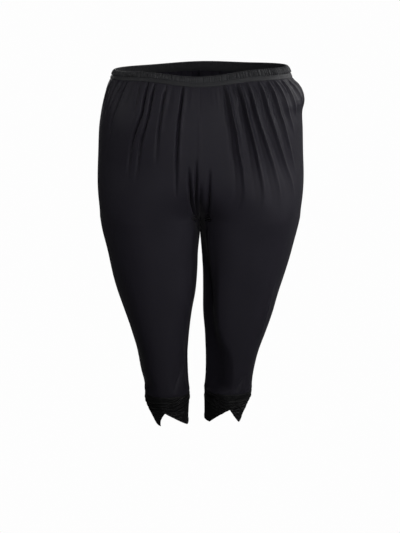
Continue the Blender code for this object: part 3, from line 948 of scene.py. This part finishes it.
RIGHT_BACK = (
    *Fan(RIGHT_GATHERS, lean=0.32, seed=0.4).creases(),
    loose(-4.0, 6.5, (0.055, -190), (0.085, -262), (0.150, -325)),
    loose(-2.2, 9.0, (0.100, -215), (0.150, -290), (0.26, -350)),
    loose(-5.0, 26.0, (0.560, -315), (0.30, -480)),
    loose(-2.6, 16.0, (0.380, -290), (0.18, -400)),
    loose(-4.0, 20.0, (0.350, -505), (0.62, -650)),
    loose(-2.6, 14.0, (0.700, -560), (0.45, -700)),
)
LEFT_GATHERS = (
    (0.0, -60), (-1.4, -80), (2.0, -85), (-2.2, -95), (2.6, -120), (-3.0, -130),
    (2.4, -100), (-2.8, -115), (2.8, -145), (-3.4, -170), (2.6, -125), (-2.8, -105),
    (2.6, -135), (-3.4, -155), (2.8, -150), (-2.8, -125), (2.4, -105), (-3.0, -140),
    (2.4, -120), (-2.4, -100), (2.0, -95), (-1.8, -85), (1.4, -75), (-1.0, -70),
)
LEFT_BACK = (
    *Fan(LEFT_GATHERS, lean=0.40, seed=1.9).creases(),
    loose(-4.4, 6.5, (0.050, -195), (0.080, -262), (0.150, -325)),
    loose(-2.0, 9.0, (0.105, -225), (0.160, -295), (0.27, -350)),
    loose(-5.4, 26.0, (0.600, -325), (0.32, -500)),
    loose(-2.4, 15.0, (0.350, -295), (0.16, -395)),
    loose(-4.0, 20.0, (0.400, -525), (0.66, -670)),
    loose(-2.4, 14.0, (0.740, -575), (0.50, -705)),
)


# ---- panels
@dataclass(frozen=True)
class Panel:
    """A front or a back, from the waistband to the cuff."""

    side: Side
    face: Face
    creases: tuple
    cut: tuple[float, float]  # width and length of the flat cut, in metres
    cut_area: float  # its flat area, in square metres
    lean: float  # how far the columns follow the gathers outwards
    lean_reach: float = 190.0  # they come to lean over this, and turn back over it
    lean_ends: float = -230.0
    centre_gathers: float = 1.0  # share of the fine gathers at the centre seam
    centre_reach: float = 0.4  # share of the width over which they grow to full
    columns: int = 300
    row_bands: tuple = ((-640.0, 19), (-420.0, 21), (-345.0, 10), (-75.0, 52), (TOP, 23))
    edge_crowding: float = 0.30  # columns stand closer together at the seams
    wall: float = 0.9
    sharp_from: float = 50.0
    seam_sink: float = 0.9  # how far a seam draws the cloth in
    centre_sink: float = 0.9  # the same at the panel's inner edge
    seam_reach: float = 2.0
    allowance: tuple = (6.0, 3.2, 1.2)  # depths of the seam allowance's columns
    tucked: tuple = (1.2, 2.4)  # heights of the rows inside the waistband
    top_sink: float = 0.45
    top_reach: float = 4.5  # the band holds gathers flat within this
    edge_reach: float = 6.0  # and a seam within this
    pucker: float = 0.30  # height of the small waves beside a seam
    pucker_pitch: float = 12.0
    pucker_reach: float = 8.0
    pucker_stray: tuple = (2.0, 41.0)  # how far the waves stray, and over what height
    fine_height: float = 0.62  # of the fine gathers right under the band
    fine_reach: float = 17.0
    fine_power: float = 1.3  # how suddenly they end
    fine_waves: tuple = (  # height, pitch, straying and its pitch, start
        (0.50, 8.9, 1.3, 29.0, 0.0), (0.35, 6.1, 1.9, 43.0, 0.7), (0.30, 13.7, 0.9, 19.0, 0.0),
    )
    swell: float = 0.45  # height of the broad, slow unevenness
    swell_reach: float = 120.0
    slow_waves: tuple = ((1.0, 21.0, 67.0, 0.0), (0.7, 34.0, -45.0, 1.1))

    @property
    def name(self) -> str:
        """Name of the solid that this piece stands for."""
        return f"{self.face.value}_{self.side.name.lower()}"

    def heights(self) -> Array:
        """Heights of the rows, closer together at the gathers.

        Returns:
            The heights, from the cuff up.
        """
        low, rows = FORM.cuff_seam(self.side), []
        for high, count in self.row_bands:
            rows.append(np.linspace(low, high, count, endpoint=high == TOP))
            low = high
        return np.concatenate([*rows, TOP + np.array(self.tucked)])

    def shares(self, z: Array) -> Array:
        """Places of the columns from the inner edge to the side seam.

        Args:
            z: Heights of the rows.

        Returns:
            Shares of the panel's width, by row and column.
        """
        even = np.linspace(0.0, 1.0, self.columns + 1)
        place = even - self.edge_crowding * np.sin(TURN * even) / TURN
        leaning = smooth_step((TOP - z) / self.lean_reach)
        leaning = leaning * (1.0 - smooth_step((self.lean_ends - z) / self.lean_reach))
        return place + self.lean * leaning[:, None] * (place * (1.0 - place))

    def fine_gathers(self, at: Field) -> Array:
        """The small, crowded gathers that die just below the waistband.

        Args:
            at: Places on the panel.

        Returns:
            Heights in mm, by row and column.
        """
        run = at.share * at.width
        waves = sum(
            height * np.sin(TURN * run / pitch + stray * np.sin(run / slow) + start)
            for height, pitch, stray, slow, start in self.fine_waves
        )
        grown = smooth_step(at.share / self.centre_reach)
        busy = self.centre_gathers + (1.0 - self.centre_gathers) * grown
        depth = np.maximum(TOP - at.z, 0.0) / self.fine_reach
        return self.fine_height * waves * busy * np.exp(-(depth**self.fine_power))

    def seam_lift(self, at: Field) -> Array:
        """How the seams round a panel draw it in and pucker it.

        Args:
            at: Places on the panel.

        Returns:
            Heights in mm, by row and column.
        """
        lift = -self.top_sink * bump(np.maximum(TOP - at.z, 0.0), self.seam_reach)
        lift = lift - self.seam_sink * bump(at.z - FORM.cuff_seam(self.side), self.seam_reach)
        stray, slow = self.pucker_stray
        phase = TURN * at.z / self.pucker_pitch + stray * np.sin(at.z / slow)
        edges = ((0.0, self.centre_sink, at.share), (2.1, self.seam_sink, 1.0 - at.share))
        for start, sink, share in edges:
            edge = share * at.width
            waves = self.pucker * np.sin(phase + start) * np.exp(-edge / self.pucker_reach)
            lift = lift + sink * (waves - bump(edge, self.seam_reach))
        return lift

    def lift(self, at: Field) -> Array:
        """Height of the cloth over the plain form.

        Args:
            at: Places on the panel.

        Returns:
            Heights in mm, by row and column.
        """
        total = self.fine_gathers(at)
        for crease in self.creases:
            total = total + crease.lift(at)
        run = at.share * at.width
        slow = sum(
            height * np.sin(run / across + at.z / up + start)
            for height, across, up, start in self.slow_waves
        )
        total = total + self.swell * slow * smooth_step((TOP - at.z) / self.swell_reach)
        edge = np.minimum(at.share, 1.0 - at.share) * at.width
        held = smooth_step(edge / self.edge_reach) * smooth_step((TOP - at.z) / self.top_reach)
        return total * held + self.seam_lift(at)

    def build(self) -> Piece:
        """Make the panel.

        Returns:
            The panel as a thin wall of cloth.
        """
        z = self.heights()
        shares = self.shares(z)
        angles, widths = FORM.spread(self.side, self.face, z, shares)
        at = Field(shares, z[:, None], widths[:, None])
        base = FORM.point(self.side, at.z, angles)
        outward = FORM.normal(self.side, at.z, angles)
        points = base + outward * self.lift(at)[..., None]
        points[..., 2] += FORM.waist_shift(base, at.z)
        inner, outer = -outward[:, :1], -outward[:, -1:]
        above = z > FORM.crotch
        inner[above, 0, 0] = 0.0
        points[above, 0, 0] = 0.0
        depths = np.array(self.allowance)
        turned = depths[:, None]
        points = np.concatenate([
            points[:, :1] + inner * turned, points, points[:, -1:] + outer * turned[::-1],
        ], axis=1)
        run = (at.share - 0.5) * at.width
        run = np.concatenate([run[:, :1] - depths, run, run[:, -1:] + depths[::-1]], axis=1)
        cut = np.stack(np.broadcast_arrays(run, at.z), axis=-1)
        if (self.side is Side.RIGHT) == (self.face is Face.FRONT):
            points, cut = points[:, ::-1], cut[:, ::-1]
        sheet = cloth(f"{self.name}_cloth", points, cut, self.wall, closed=False)
        shade(sheet, self.sharp_from)
        return sheet

    def dress(self, sheet: Piece, material: Material) -> None:
        """Give the panel its finish and put it on the part.

        Args:
            sheet: The panel.
            material: Its knit.
        """
        sheet.data.materials.append(material)
        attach(sheet, "root")
        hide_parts(self.name)


# ---- waistband
class BandLevel(NamedTuple):
    """A level of the band's outer profile, from its lower edge up.

    `up` is the share of its height, `out` how far the ground stands out from
    the form in mm, and `ribbed` the share of the ribs' height there.
    """

    up: float
    out: float
    ribbed: float


BAND_LEVELS = tuple(BandLevel(*row) for row in (
    (0.000, -1.30, 0.0), (0.000, -0.40, 0.0), (0.004, 0.35, 0.0), (0.020, 0.90, 0.02),
    (0.050, 1.25, 0.06), (0.110, 1.42, 0.10), (0.200, 1.48, 0.12), (0.290, 1.45, 0.12),
    (0.350, 1.30, 0.10), (0.385, 0.95, 0.10), (0.405, 0.55, 0.22), (0.435, 0.45, 0.60),
    (0.480, 0.62, 0.88), (0.550, 0.80, 1.0), (0.630, 0.90, 1.0), (0.720, 0.92, 1.0),
    (0.800, 0.85, 1.0), (0.870, 0.65, 0.95), (0.925, 0.35, 0.85), (0.965, -0.05, 0.75),
    (0.990, -0.50, 0.65), (1.000, -1.00, 0.55), (0.992, -1.45, 0.45), (0.965, -1.75, 0.35),
    (0.915, -1.95, 0.25), (0.820, -2.05, 0.20), (0.700, -2.05, 0.20), (0.580, -2.05, 0.20),
    (0.460, -2.05, 0.15), (0.400, -2.20, 0.05), (0.340, -2.05, 0.05), (0.220, -2.00, 0.0),
    (0.100, -1.95, 0.0), (0.020, -1.85, 0.0), (0.000, -1.60, 0.0),
))


@dataclass(frozen=True)
class Waistband:
    """The elastic band: a casing shirred into ribs over a plain lower strip."""

    ribs: int = 196
    columns_per_rib: int = 6
    rib_height: float = 4.4
    rib_power: float = 0.7  # under 1: full ribs with narrow valleys
    straying: tuple = ((0.45, 23), (0.3, 41))  # of the ribs: how far, times round
    uneven: float = 0.18  # how much lower the lowest ribs are
    uneven_times: tuple[int, int] = (57, 31)
    centre_front: float = 0.30  # share of the ribs' height at the centre front
    front_half: float = 0.10  # half width of that place, in turns
    wave: float = 0.22
    wave_times: tuple[int, int] = (37, 11)
    cut: tuple[float, float] = (1.24, 0.028)
    girth: float = 1110.0
    sharp_from: float = 60.0
    stitch_level: BandLevel = BandLevel(0.335, 1.36, 0.1)
    stitch_samples: int = 1600

    @property
    def columns(self) -> int:
        """Faces all the way round."""
        return self.ribs * self.columns_per_rib

    def ring(self, up: float, turns: Array) -> tuple[Array, Array]:
        """Points and level outward directions of the plain form, all round.

        Args:
            up: Share of the band's height.
            turns: Places from 0 to 1, from the centre back round by the left.

        Returns:
            The points and the directions.
        """
        z = FORM.band_low + (FORM.band_high - FORM.band_low) * up
        points, outward = np.empty((len(turns), 3)), np.empty((len(turns), 3))
        quarters = (
            (Side.LEFT, Face.BACK, True), (Side.LEFT, Face.FRONT, False),
            (Side.RIGHT, Face.FRONT, True), (Side.RIGHT, Face.BACK, False),
        )
        for number, (side, face, forward) in enumerate(quarters):
            here = (turns >= number / 4) & (turns <= (number + 1) / 4)
            share = turns[here] * 4 - number
            share = share if forward else 1.0 - share
            angles, _ = FORM.spread(side, face, np.array([z]), share[None, :])
            base = FORM.point(side, z, angles[0])
            base[:, 2] += FORM.waist_shift(base, z)
            points[here] = base
            outward[here] = FORM.level_normal(side, z, angles[0])
        return points, outward

    def rib_lift(self, turns: Array) -> Array:
        """Height of the ribs round the band, uneven in pitch and depth.

        Args:
            turns: Places round the band.

        Returns:
            Heights in mm.
        """
        phase = self.ribs * turns
        for stray, times in self.straying:
            phase = phase + stray * np.sin(TURN * times * turns)
        crests = np.abs(np.cos(math.pi * phase)) ** self.rib_power
        first, second = self.uneven_times
        waves = np.sin(TURN * first * turns + 1.0) * np.sin(TURN * second * turns)
        crests = crests * (1.0 - self.uneven + self.uneven * waves)
        front = bump(turns - 0.5, self.front_half)
        return self.rib_height * crests * (1.0 - (1.0 - self.centre_front) * front)

    def surface(self, level: BandLevel, turns: Array) -> tuple[Array, Array]:
        """Points of the band at one level, and their level outward directions.

        Args:
            level: The level.
            turns: Places round the band.

        Returns:
            The points and the directions.
        """
        points, outward = self.ring(level.up, turns)
        first, second = self.wave_times
        waves = self.wave * np.sin(TURN * first * turns) * np.sin(TURN * second * turns + 0.5)
        lift = level.out + level.ribbed * self.rib_lift(turns) + waves
        return points + outward * lift[:, None], outward

    def build(self) -> Piece:
        """Make the band.

        Returns:
            The band as one closed ring.
        """
        turns = np.linspace(0.0, 1.0, self.columns + 1)
        levels = (*BAND_LEVELS, BAND_LEVELS[0])
        points = np.stack([self.surface(level, turns)[0] for level in levels])
        points[:, -1] = points[:, 0]
        along = run_along(points[:, 0])[:, None]
        cut = np.stack(np.broadcast_arrays(turns * self.girth, along), axis=-1)
        band = cloth("waistband_cloth", points, cut, wall=0.0, closed=True)
        shade(band, self.sharp_from)
        return band

    def stitches(self) -> Piece:
        """The stitch row that closes the casing above the lower strip."""
        path, outward = self.surface(self.stitch_level, np.linspace(0.0, 1.0, self.stitch_samples))
        return StitchRow("band_stitches").sew(path, outward)

    def dress(self, band: Piece, row: Piece,
              material: Material, thread: Material) -> None:
        """Give the band its finish and put it on the part.

        Args:
            band: The band.
            row: Its stitches.
            material: The shirred knit, made paler with painted light.
            thread: The sewing thread.
        """
        band.data.materials.append(material)
        row.data.materials.append(thread)
        for piece in (band, row):
            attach(piece, "root")
        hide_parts("waistband")


# ---- cuffs
class Ruche(NamedTuple):
    """A trough between two ruched folds of a cuff.

    `z` is its height at the ruching seam, `rise_in` and `rise_out` how far it
    climbs towards the inner and the outer side, and `depth` its depth in mm.
    It has died away `reach_in` and `reach_out` degrees from the seam.
    """

    z: float
    rise_in: float
    rise_out: float
    depth: float
    reach_in: float
    reach_out: float


@dataclass(frozen=True)
class Cuff:
    """A band round the leg, drawn up by a seam above its notch."""

    side: Side
    hem_low: float
    hem_back: float
    notch_top: float
    flank_out: float  # degrees from the notch's top to the hem's corners
    flank_in: float
    rounding_out: float  # 1 gives a straight flank, more a hollow one
    rounding_in: float
    tip_drop: float  # how much lower the hem is at the outer corner
    ruches: tuple
    puff_top: float  # the folds stand proud under this height
    inner_bow: float = 0.0  # how far the cloth between notch and inner side lies in
    cut: tuple[float, float] = (0.33, 0.085)
    columns: int = 240
    rows: int = 84
    wall: float = 0.9
    sharp_from: float = 50.0
    puff: float = 2.2
    puff_grow: float = 7.0  # height over which the folds come to stand proud
    puff_sides: tuple = (0.55, 40.0, 90.0)  # how much less they do beside: share, from, over
    climb: tuple = (5.0, 85.0)  # degrees from the seam where a fold climbs: from, over
    waver: tuple = (1.1, 13.0, 2.3, 25.0)  # of a fold: height, degrees a radian, start, over
    fold_half: tuple = (2.1, 0.9)  # half width of a trough at the seam, and its growth
    full_to: float = 0.35  # share of its reach to which a trough is in full
    fold_grow: float = 5.0  # height over which the folds rise under the leg's seam
    seam_sink: float = 0.9
    seam_reach: float = 2.0
    groove_half: float = 4.5  # half width of the ruching seam's groove, in degrees
    groove_grow: float = 9.0
    seam_hold: float = 0.45  # share of a fold's depth on the ruching seam itself
    seam_free: float = 16.0  # degrees from it where a fold has its full depth
    beside: tuple = (0.25, 1.35, 6.0, 4.0)  # gathers by it: height, mm a radian, place, half width
    bow: tuple = (16.0, 74.0, 14.0)  # of the inner side: degrees from the notch, over, height
    notch_crowding: float = 0.55  # columns stand closer together at the notch
    hem_allowance: float = 9.0
    hem_step: float = 0.45
    hem_fade: float = 1.6
    hem_edge: tuple = (0.5, 1.0)  # how far the hem's edge is rolled in, and its half width
    ripple: tuple = (0.28, 2.6, 1.4, 17.0)  # of the hem: height, degrees a radian, straying
    ripple_place: tuple = (7.0, 4.0)  # height over the hem, and half width
    tucked: tuple = ((0.6, -2.1), (2.6, -2.2), (5.5, -2.2))  # rows inside the leg: up, out
    stitch_inset: float = 7.5
    stitch_samples: int = 900

    @property
    def name(self) -> str:
        """Name of the solid that this piece stands for."""
        return f"cuff_{self.side.name.lower()}"

    def own_angles(self) -> Array:
        """Degrees from the notch, crowded round it; - to the inside, + outside."""
        even = np.linspace(-1.0, 1.0, self.columns + 1)
        return 180.0 * (even - self.notch_crowding * np.sin(math.pi * even) / math.pi)

    def hem(self, own: Array) -> Array:
        """Height of the hem round the leg.

        Args:
            own: Degrees from the notch.

        Returns:
            Heights in mm.
        """
        flank = np.where(own > 0, self.flank_out, self.flank_in)
        rounding = np.where(own > 0, self.rounding_out, self.rounding_in)
        t = np.minimum(1.0, np.abs(own) / flank)
        fall = 1.0 - (1.0 - t) ** rounding
        behind = smooth_step((np.abs(own) - flank) / (180.0 - flank))
        front = self.hem_low - np.where(own > 0, self.tip_drop, 0.0)
        low = front + (self.hem_back - front) * behind
        return self.notch_top + (low - self.notch_top) * fall

    def fold_lift(self, own: Array, z: Array) -> Array:
        """Height of the ruched folds.

        Args:
            own: Degrees from the notch.
            z: Heights.

        Returns:
            Heights in mm.
        """
        outside, away = own > 0, np.abs(own)
        climb = smooth_step((away - self.climb[0]) / self.climb[1])
        half = self.fold_half[0] + self.fold_half[1] * climb
        near = self.seam_hold + (1.0 - self.seam_hold) * smooth_step(away / self.seam_free)
        waver, slow, start, grow = self.waver
        flatter, sides, over = self.puff_sides
        proud = smooth_step((self.puff_top - z) / self.puff_grow)
        lift = self.puff * proud * (1.0 - flatter * smooth_step((away - sides) / over))
        for number, ruche in enumerate(self.ruches):
            rise = np.where(outside, ruche.rise_out, ruche.rise_in)
            reach = np.where(outside, ruche.reach_out, ruche.reach_in)
            wavy = waver * np.sin(own / slow + start * number) * smooth_step(away / grow)
            beyond = (away - self.full_to * reach) / ((1.0 - self.full_to) * reach)
            depth = ruche.depth * (1.0 - smooth_step(beyond)) * near
            lift = lift - depth * bump(z - (ruche.z + rise * climb + wavy), half)
        return lift

    def surface(self, own: Array, z: Array) -> tuple[Array, Array]:
        """Points of the cuff's outer side, and their level outward directions.

        Args:
            own: Degrees from the notch.
            z: Heights.

        Returns:
            The points and the directions.
        """
        own, z = np.broadcast_arrays(own, z)
        angle = 90.0 + FORM.turn_out + own
        outward = FORM.level_normal(self.side, z, angle)
        under = FORM.cuff_seam(self.side) - z
        over_hem = z - self.hem(own)
        lift = self.fold_lift(own, z) * smooth_step(under / self.fold_grow)
        groove = bump(own, self.groove_half) * smooth_step(under / self.groove_grow)
        lift = lift - self.seam_sink * (bump(under, self.seam_reach) + groove)
        height, pitch, place, half = self.beside
        lift = lift + height * np.sin(z / pitch + 0.4) * bump(np.abs(own) - place, half)
        start, over, grow = self.bow
        inwards = np.clip((-own - start) / over, 0.0, 1.0)
        bow = 4.0 * self.inner_bow * inwards * (1.0 - inwards)
        lift = lift - bow * smooth_step(under / grow)
        step = 1.0 - smooth_step((over_hem - self.hem_allowance) / self.hem_fade)
        rolled, half = self.hem_edge
        lift = lift + self.hem_step * step - rolled * bump(over_hem, half)
        height, pitch, stray, slow = self.ripple
        place, half = self.ripple_place
        waves = height * np.sin(own / pitch + stray * np.sin(own / slow))
        lift = lift + waves * bump(over_hem - place, half)
        return FORM.point(self.side, z, angle) + outward * lift[..., None], outward

    def build(self) -> Piece:
        """Make the cuff.

        Returns:
            The cuff as a thin wall of cloth.
        """
        own = self.own_angles()[None, :]
        top, low = FORM.cuff_seam(self.side), self.hem(own)
        z = low + (top - low) * np.linspace(0.0, 1.0, self.rows + 1)[:, None]
        points, _ = self.surface(own, z)
        angle = 90.0 + FORM.turn_out + own
        for rise, out in self.tucked:
            inside = np.full_like(own, top + rise)
            row = FORM.point(self.side, inside, angle) + FORM.normal(self.side, inside, angle) * out
            points, z = np.concatenate([points, row]), np.concatenate([z, inside])
        cut = np.stack(np.broadcast_arrays(run_along(points[self.rows]), z), axis=-1)
        if self.side is Side.RIGHT:
            points, cut = points[:, ::-1], cut[:, ::-1]
        points[:, -1] = points[:, 0]
        sheet = cloth(f"{self.name}_cloth", points, cut, self.wall, closed=True)
        shade(sheet, self.sharp_from)
        return sheet

    def stitches(self) -> Piece:
        """The stitch row of the hem, which follows the notch.

        Returns:
            One mesh with every stitch.
        """
        own = np.linspace(-180.0, 180.0, self.stitch_samples)
        path, outward = self.surface(own, self.hem(own) + self.stitch_inset)
        if self.side is Side.RIGHT:
            path, outward = path[::-1], outward[::-1]
        return StitchRow(f"{self.name}_stitches").sew(path, outward)

    def dress(self, sheet: Piece, row: Piece,
              material: Material, thread: Material) -> None:
        """Give the cuff its finish and put it on the part.

        Args:
            sheet: The cuff.
            row: Its stitches.
            material: The knit, darkened with painted shade.
            thread: The sewing thread.
        """
        sheet.data.materials.append(material)
        row.data.materials.append(thread)
        for piece in (sheet, row):
            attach(piece, "root")
        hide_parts(self.name)
        panels = [f"{face.value}_{self.side.name.lower()}_cloth" for face in Face]


# ---- the trousers
@dataclass(frozen=True)
class Trousers:
    """Every sewn piece of the trousers."""

    panels: tuple
    band: Waistband
    cuffs: tuple

    def build(self) -> None:
        """Build and dress every piece."""
        # The band's knit carries painted light.
        # The cuffs' knit carries painted shade.
        knit, shirred, drawn = (f.material() for f in (JERSEY, BAND_JERSEY_WITH_PAINTED_LIGHT, CUFF_JERSEY_WITH_PAINTED_SHADE))
        thread = ThreadFinish().material()
        band, band_row = self.band.build(), self.band.stitches()
        self.band.dress(band, band_row, shirred, thread)
        LOG.info("waistband: %d faces", len(band.data.polygons))
        for panel in self.panels:
            sheet = panel.build()
            panel.dress(sheet, knit)
            LOG.info("%s: %d faces", panel.name, len(sheet.data.polygons))
        for cuff in self.cuffs:
            sheet, row = cuff.build(), cuff.stitches()
            cuff.dress(sheet, row, drawn, thread)
            LOG.info("%s: %d faces", cuff.name, len(sheet.data.polygons))


CAPRI = Trousers(
    panels=(
        Panel(Side.LEFT, Face.FRONT, LEFT_FRONT, cut=(0.43, 0.75), cut_area=0.236,
              centre_gathers=0.35, centre_sink=0.25, lean=0.62),
        Panel(Side.RIGHT, Face.FRONT, RIGHT_FRONT, cut=(0.43, 0.75), cut_area=0.236,
              centre_gathers=0.35, centre_sink=0.25, lean=0.18),
        Panel(Side.LEFT, Face.BACK, LEFT_BACK, cut=(0.44, 0.77), cut_area=0.242, lean=0.40),
        Panel(Side.RIGHT, Face.BACK, RIGHT_BACK, cut=(0.44, 0.77), cut_area=0.242, lean=0.32),
    ),
    band=Waistband(),
    cuffs=(
        Cuff(
            Side.LEFT, hem_low=-801.5, hem_back=-792.0, notch_top=-766.0,
            flank_out=60.0, flank_in=58.0, rounding_out=1.55, rounding_in=1.1, tip_drop=3.0,
            puff_top=-738.0, inner_bow=4.0,
            ruches=(
                Ruche(-743.5, 17, 5, 3.4, 95, 45),
                Ruche(-750.5, 22, 1.5, 5, 125, 95),
                Ruche(-757, 24, 0, 5.6, 130, 90),
                Ruche(-763.5, 23, -2, 5.4, 120, 90),
                Ruche(-771, 19, -6, 3.6, 105, 60),
                Ruche(-781, 14, -9, 2, 85, 50),
            ),
        ),
        Cuff(
            Side.RIGHT, hem_low=-811.0, hem_back=-803.0, notch_top=-776.0,
            flank_out=34.0, flank_in=78.0, rounding_out=0.8, rounding_in=1.35, tip_drop=0.0,
            puff_top=-742.0,
            ruches=(
                Ruche(-746.5, 16, 0.5, 3.8, 110, 75),
                Ruche(-754, 18, 1.5, 5, 125, 100),
                Ruche(-761, 16, 1, 5.4, 120, 100),
                Ruche(-768.5, 11, -0.5, 5.8, 110, 105),
                Ruche(-777.5, 7, -4, 3, 80, 60),
                Ruche(-788, 5, -6, 1.6, 75, 45),
            ),
        ),
    ),
)


# ---- the studio
@dataclass(frozen=True)
class SoftLight:
    """A large soft light that looks at a point."""

    name: str
    place: Triple
    aim: Triple
    width: float
    height: float
    power: float
    spread: float = 180.0  # degrees that its light fans out over

    def hang(self) -> None:
        """Hang the light."""
        data = bpy.data.lights.new(self.name, "AREA")
        data.shape = "RECTANGLE"
        data.size, data.size_y = self.width, self.height
        data.energy = self.power
        data.spread = math.radians(self.spread)
        lamp = bpy.data.objects.new(self.name, data)
        lamp.location = self.place
        aim = Vector(self.aim) - lamp.location
        lamp.rotation_euler = aim.to_track_quat("-Z", "Y").to_euler()
        bpy.context.scene.collection.objects.link(lamp)


@dataclass(frozen=True)
class Studio:
    """A pale floor, an even pale surround, soft lights and the camera."""

    floor_z: float = -1.07
    floor_size: float = 60.0
    floor_grey: tuple[float, float, float, float] = (0.2, 0.2, 0.2, 1.0)
    floor_roughness: float = 0.9
    surround: float = 0.006
    backdrop: float = 0.985
    camera_place: Triple = (0.0, -3.0, 0.22)
    camera_down: float = 12.376
    lens: float = 91.14
    lights: tuple = (
        SoftLight("front", (1.1, -3.0, 1.6), (0.0, 0.0, 0.12), 1.0, 1.0, 0.65, 18.0),
        SoftLight("low", (0.2, -3.2, -0.4), (0.0, 0.0, -0.36), 1.6, 0.6, 0.86, 26.0),
        SoftLight("low side", (2.0, -2.6, -0.7), (0.0, 0.0, -0.5), 2.0, 0.6, 1.2, 70.0),
        SoftLight("legs", (1.9, -2.7, 0.9), (0.04, 0.0, -0.5), 0.8, 0.8, 0.52, 26.0),
        SoftLight("far side", (2.9, -1.3, -0.4), (0.0, 0.0, -0.3), 1.2, 0.6, 0.30, 26.0),
        SoftLight("key", (2.8, -1.7, 0.8), (0.1, 0.0, -0.05), 0.7, 0.7, 0.54, 30.0),
        SoftLight("side", (3.2, 0.45, 0.6), (0.1, 0.0, -0.05), 0.7, 0.7, 0.98, 30.0),
        SoftLight("fill", (-2.4, -1.8, 1.0), (0.0, 0.0, -0.1), 0.5, 0.5, 0.12, 22.0),
        SoftLight("fill side", (-2.9, -0.6, 1.0), (0.0, 0.0, -0.1), 0.5, 0.5, 0.24, 22.0),
        SoftLight("rim", (2.4, 1.9, 1.2), (0.0, 0.0, -0.1), 1.2, 1.2, 22.0),
        SoftLight("behind", (-0.8, 3.0, 0.6), (0.0, 0.0, -0.2), 1.4, 1.4, 3.0, 70.0),
    )

    def floor(self) -> None:
        """Lay the floor: pale paper to the camera, and grey to the light."""
        deselect_all()
        bpy.ops.mesh.primitive_grid_add(
            x_subdivisions=4, y_subdivisions=4, size=self.floor_size, location=(0, 0, self.floor_z)
        )
        ground = bpy.context.object
        ground.name = "floor"
        tree = ShaderTree(bpy.data.materials.new("pale_floor"))
        grey = tree.nodes["Principled BSDF"]
        tree.fill(grey, {"Base Color": self.floor_grey, "Roughness": self.floor_roughness})
        paper = tree.node("Emission", {"Strength": self.backdrop})
        tree.two_faced(paper.outputs[0], grey.outputs[0], "Material Output")
        ground.data.materials.append(tree.owner)

    def surroundings(self) -> None:
        """Light the room evenly, with a paler wall where the camera looks."""
        world = bpy.data.worlds.new("surround")
        bpy.context.scene.world = world
        tree = ShaderTree(world)
        white = (1.0, 1.0, 1.0, 1.0)
        room = tree.nodes["Background"]
        tree.fill(room, {"Color": white, "Strength": self.surround})
        wall = tree.node("Background", {"Color": white, "Strength": self.backdrop})
        tree.two_faced(wall.outputs[0], room.outputs[0], "World Output")

    def camera(self) -> None:
        """Stand the camera where the trousers are looked at from."""
        data = bpy.data.cameras.new("camera")
        data.lens = self.lens
        eye = bpy.data.objects.new("camera", data)
        eye.location = self.camera_place
        eye.rotation_euler = (math.radians(90.0 - self.camera_down), 0.0, 0.0)
        bpy.context.scene.collection.objects.link(eye)
        bpy.context.scene.camera = eye

    def build(self) -> None:
        """Set up the whole studio."""
        self.floor()
        self.surroundings()
        self.camera()
        for light in self.lights:
            light.hang()
        bpy.context.scene.view_settings.view_transform = "Standard"


def main() -> None:
    """Build the trousers and the studio."""
    logging.basicConfig(level=logging.INFO, format="%(name)s %(message)s")
    LOG.info("%d nodes to dress", len(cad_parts))
    CAPRI.build()
    Studio().build()


if __name__ == "__main__":
    main()
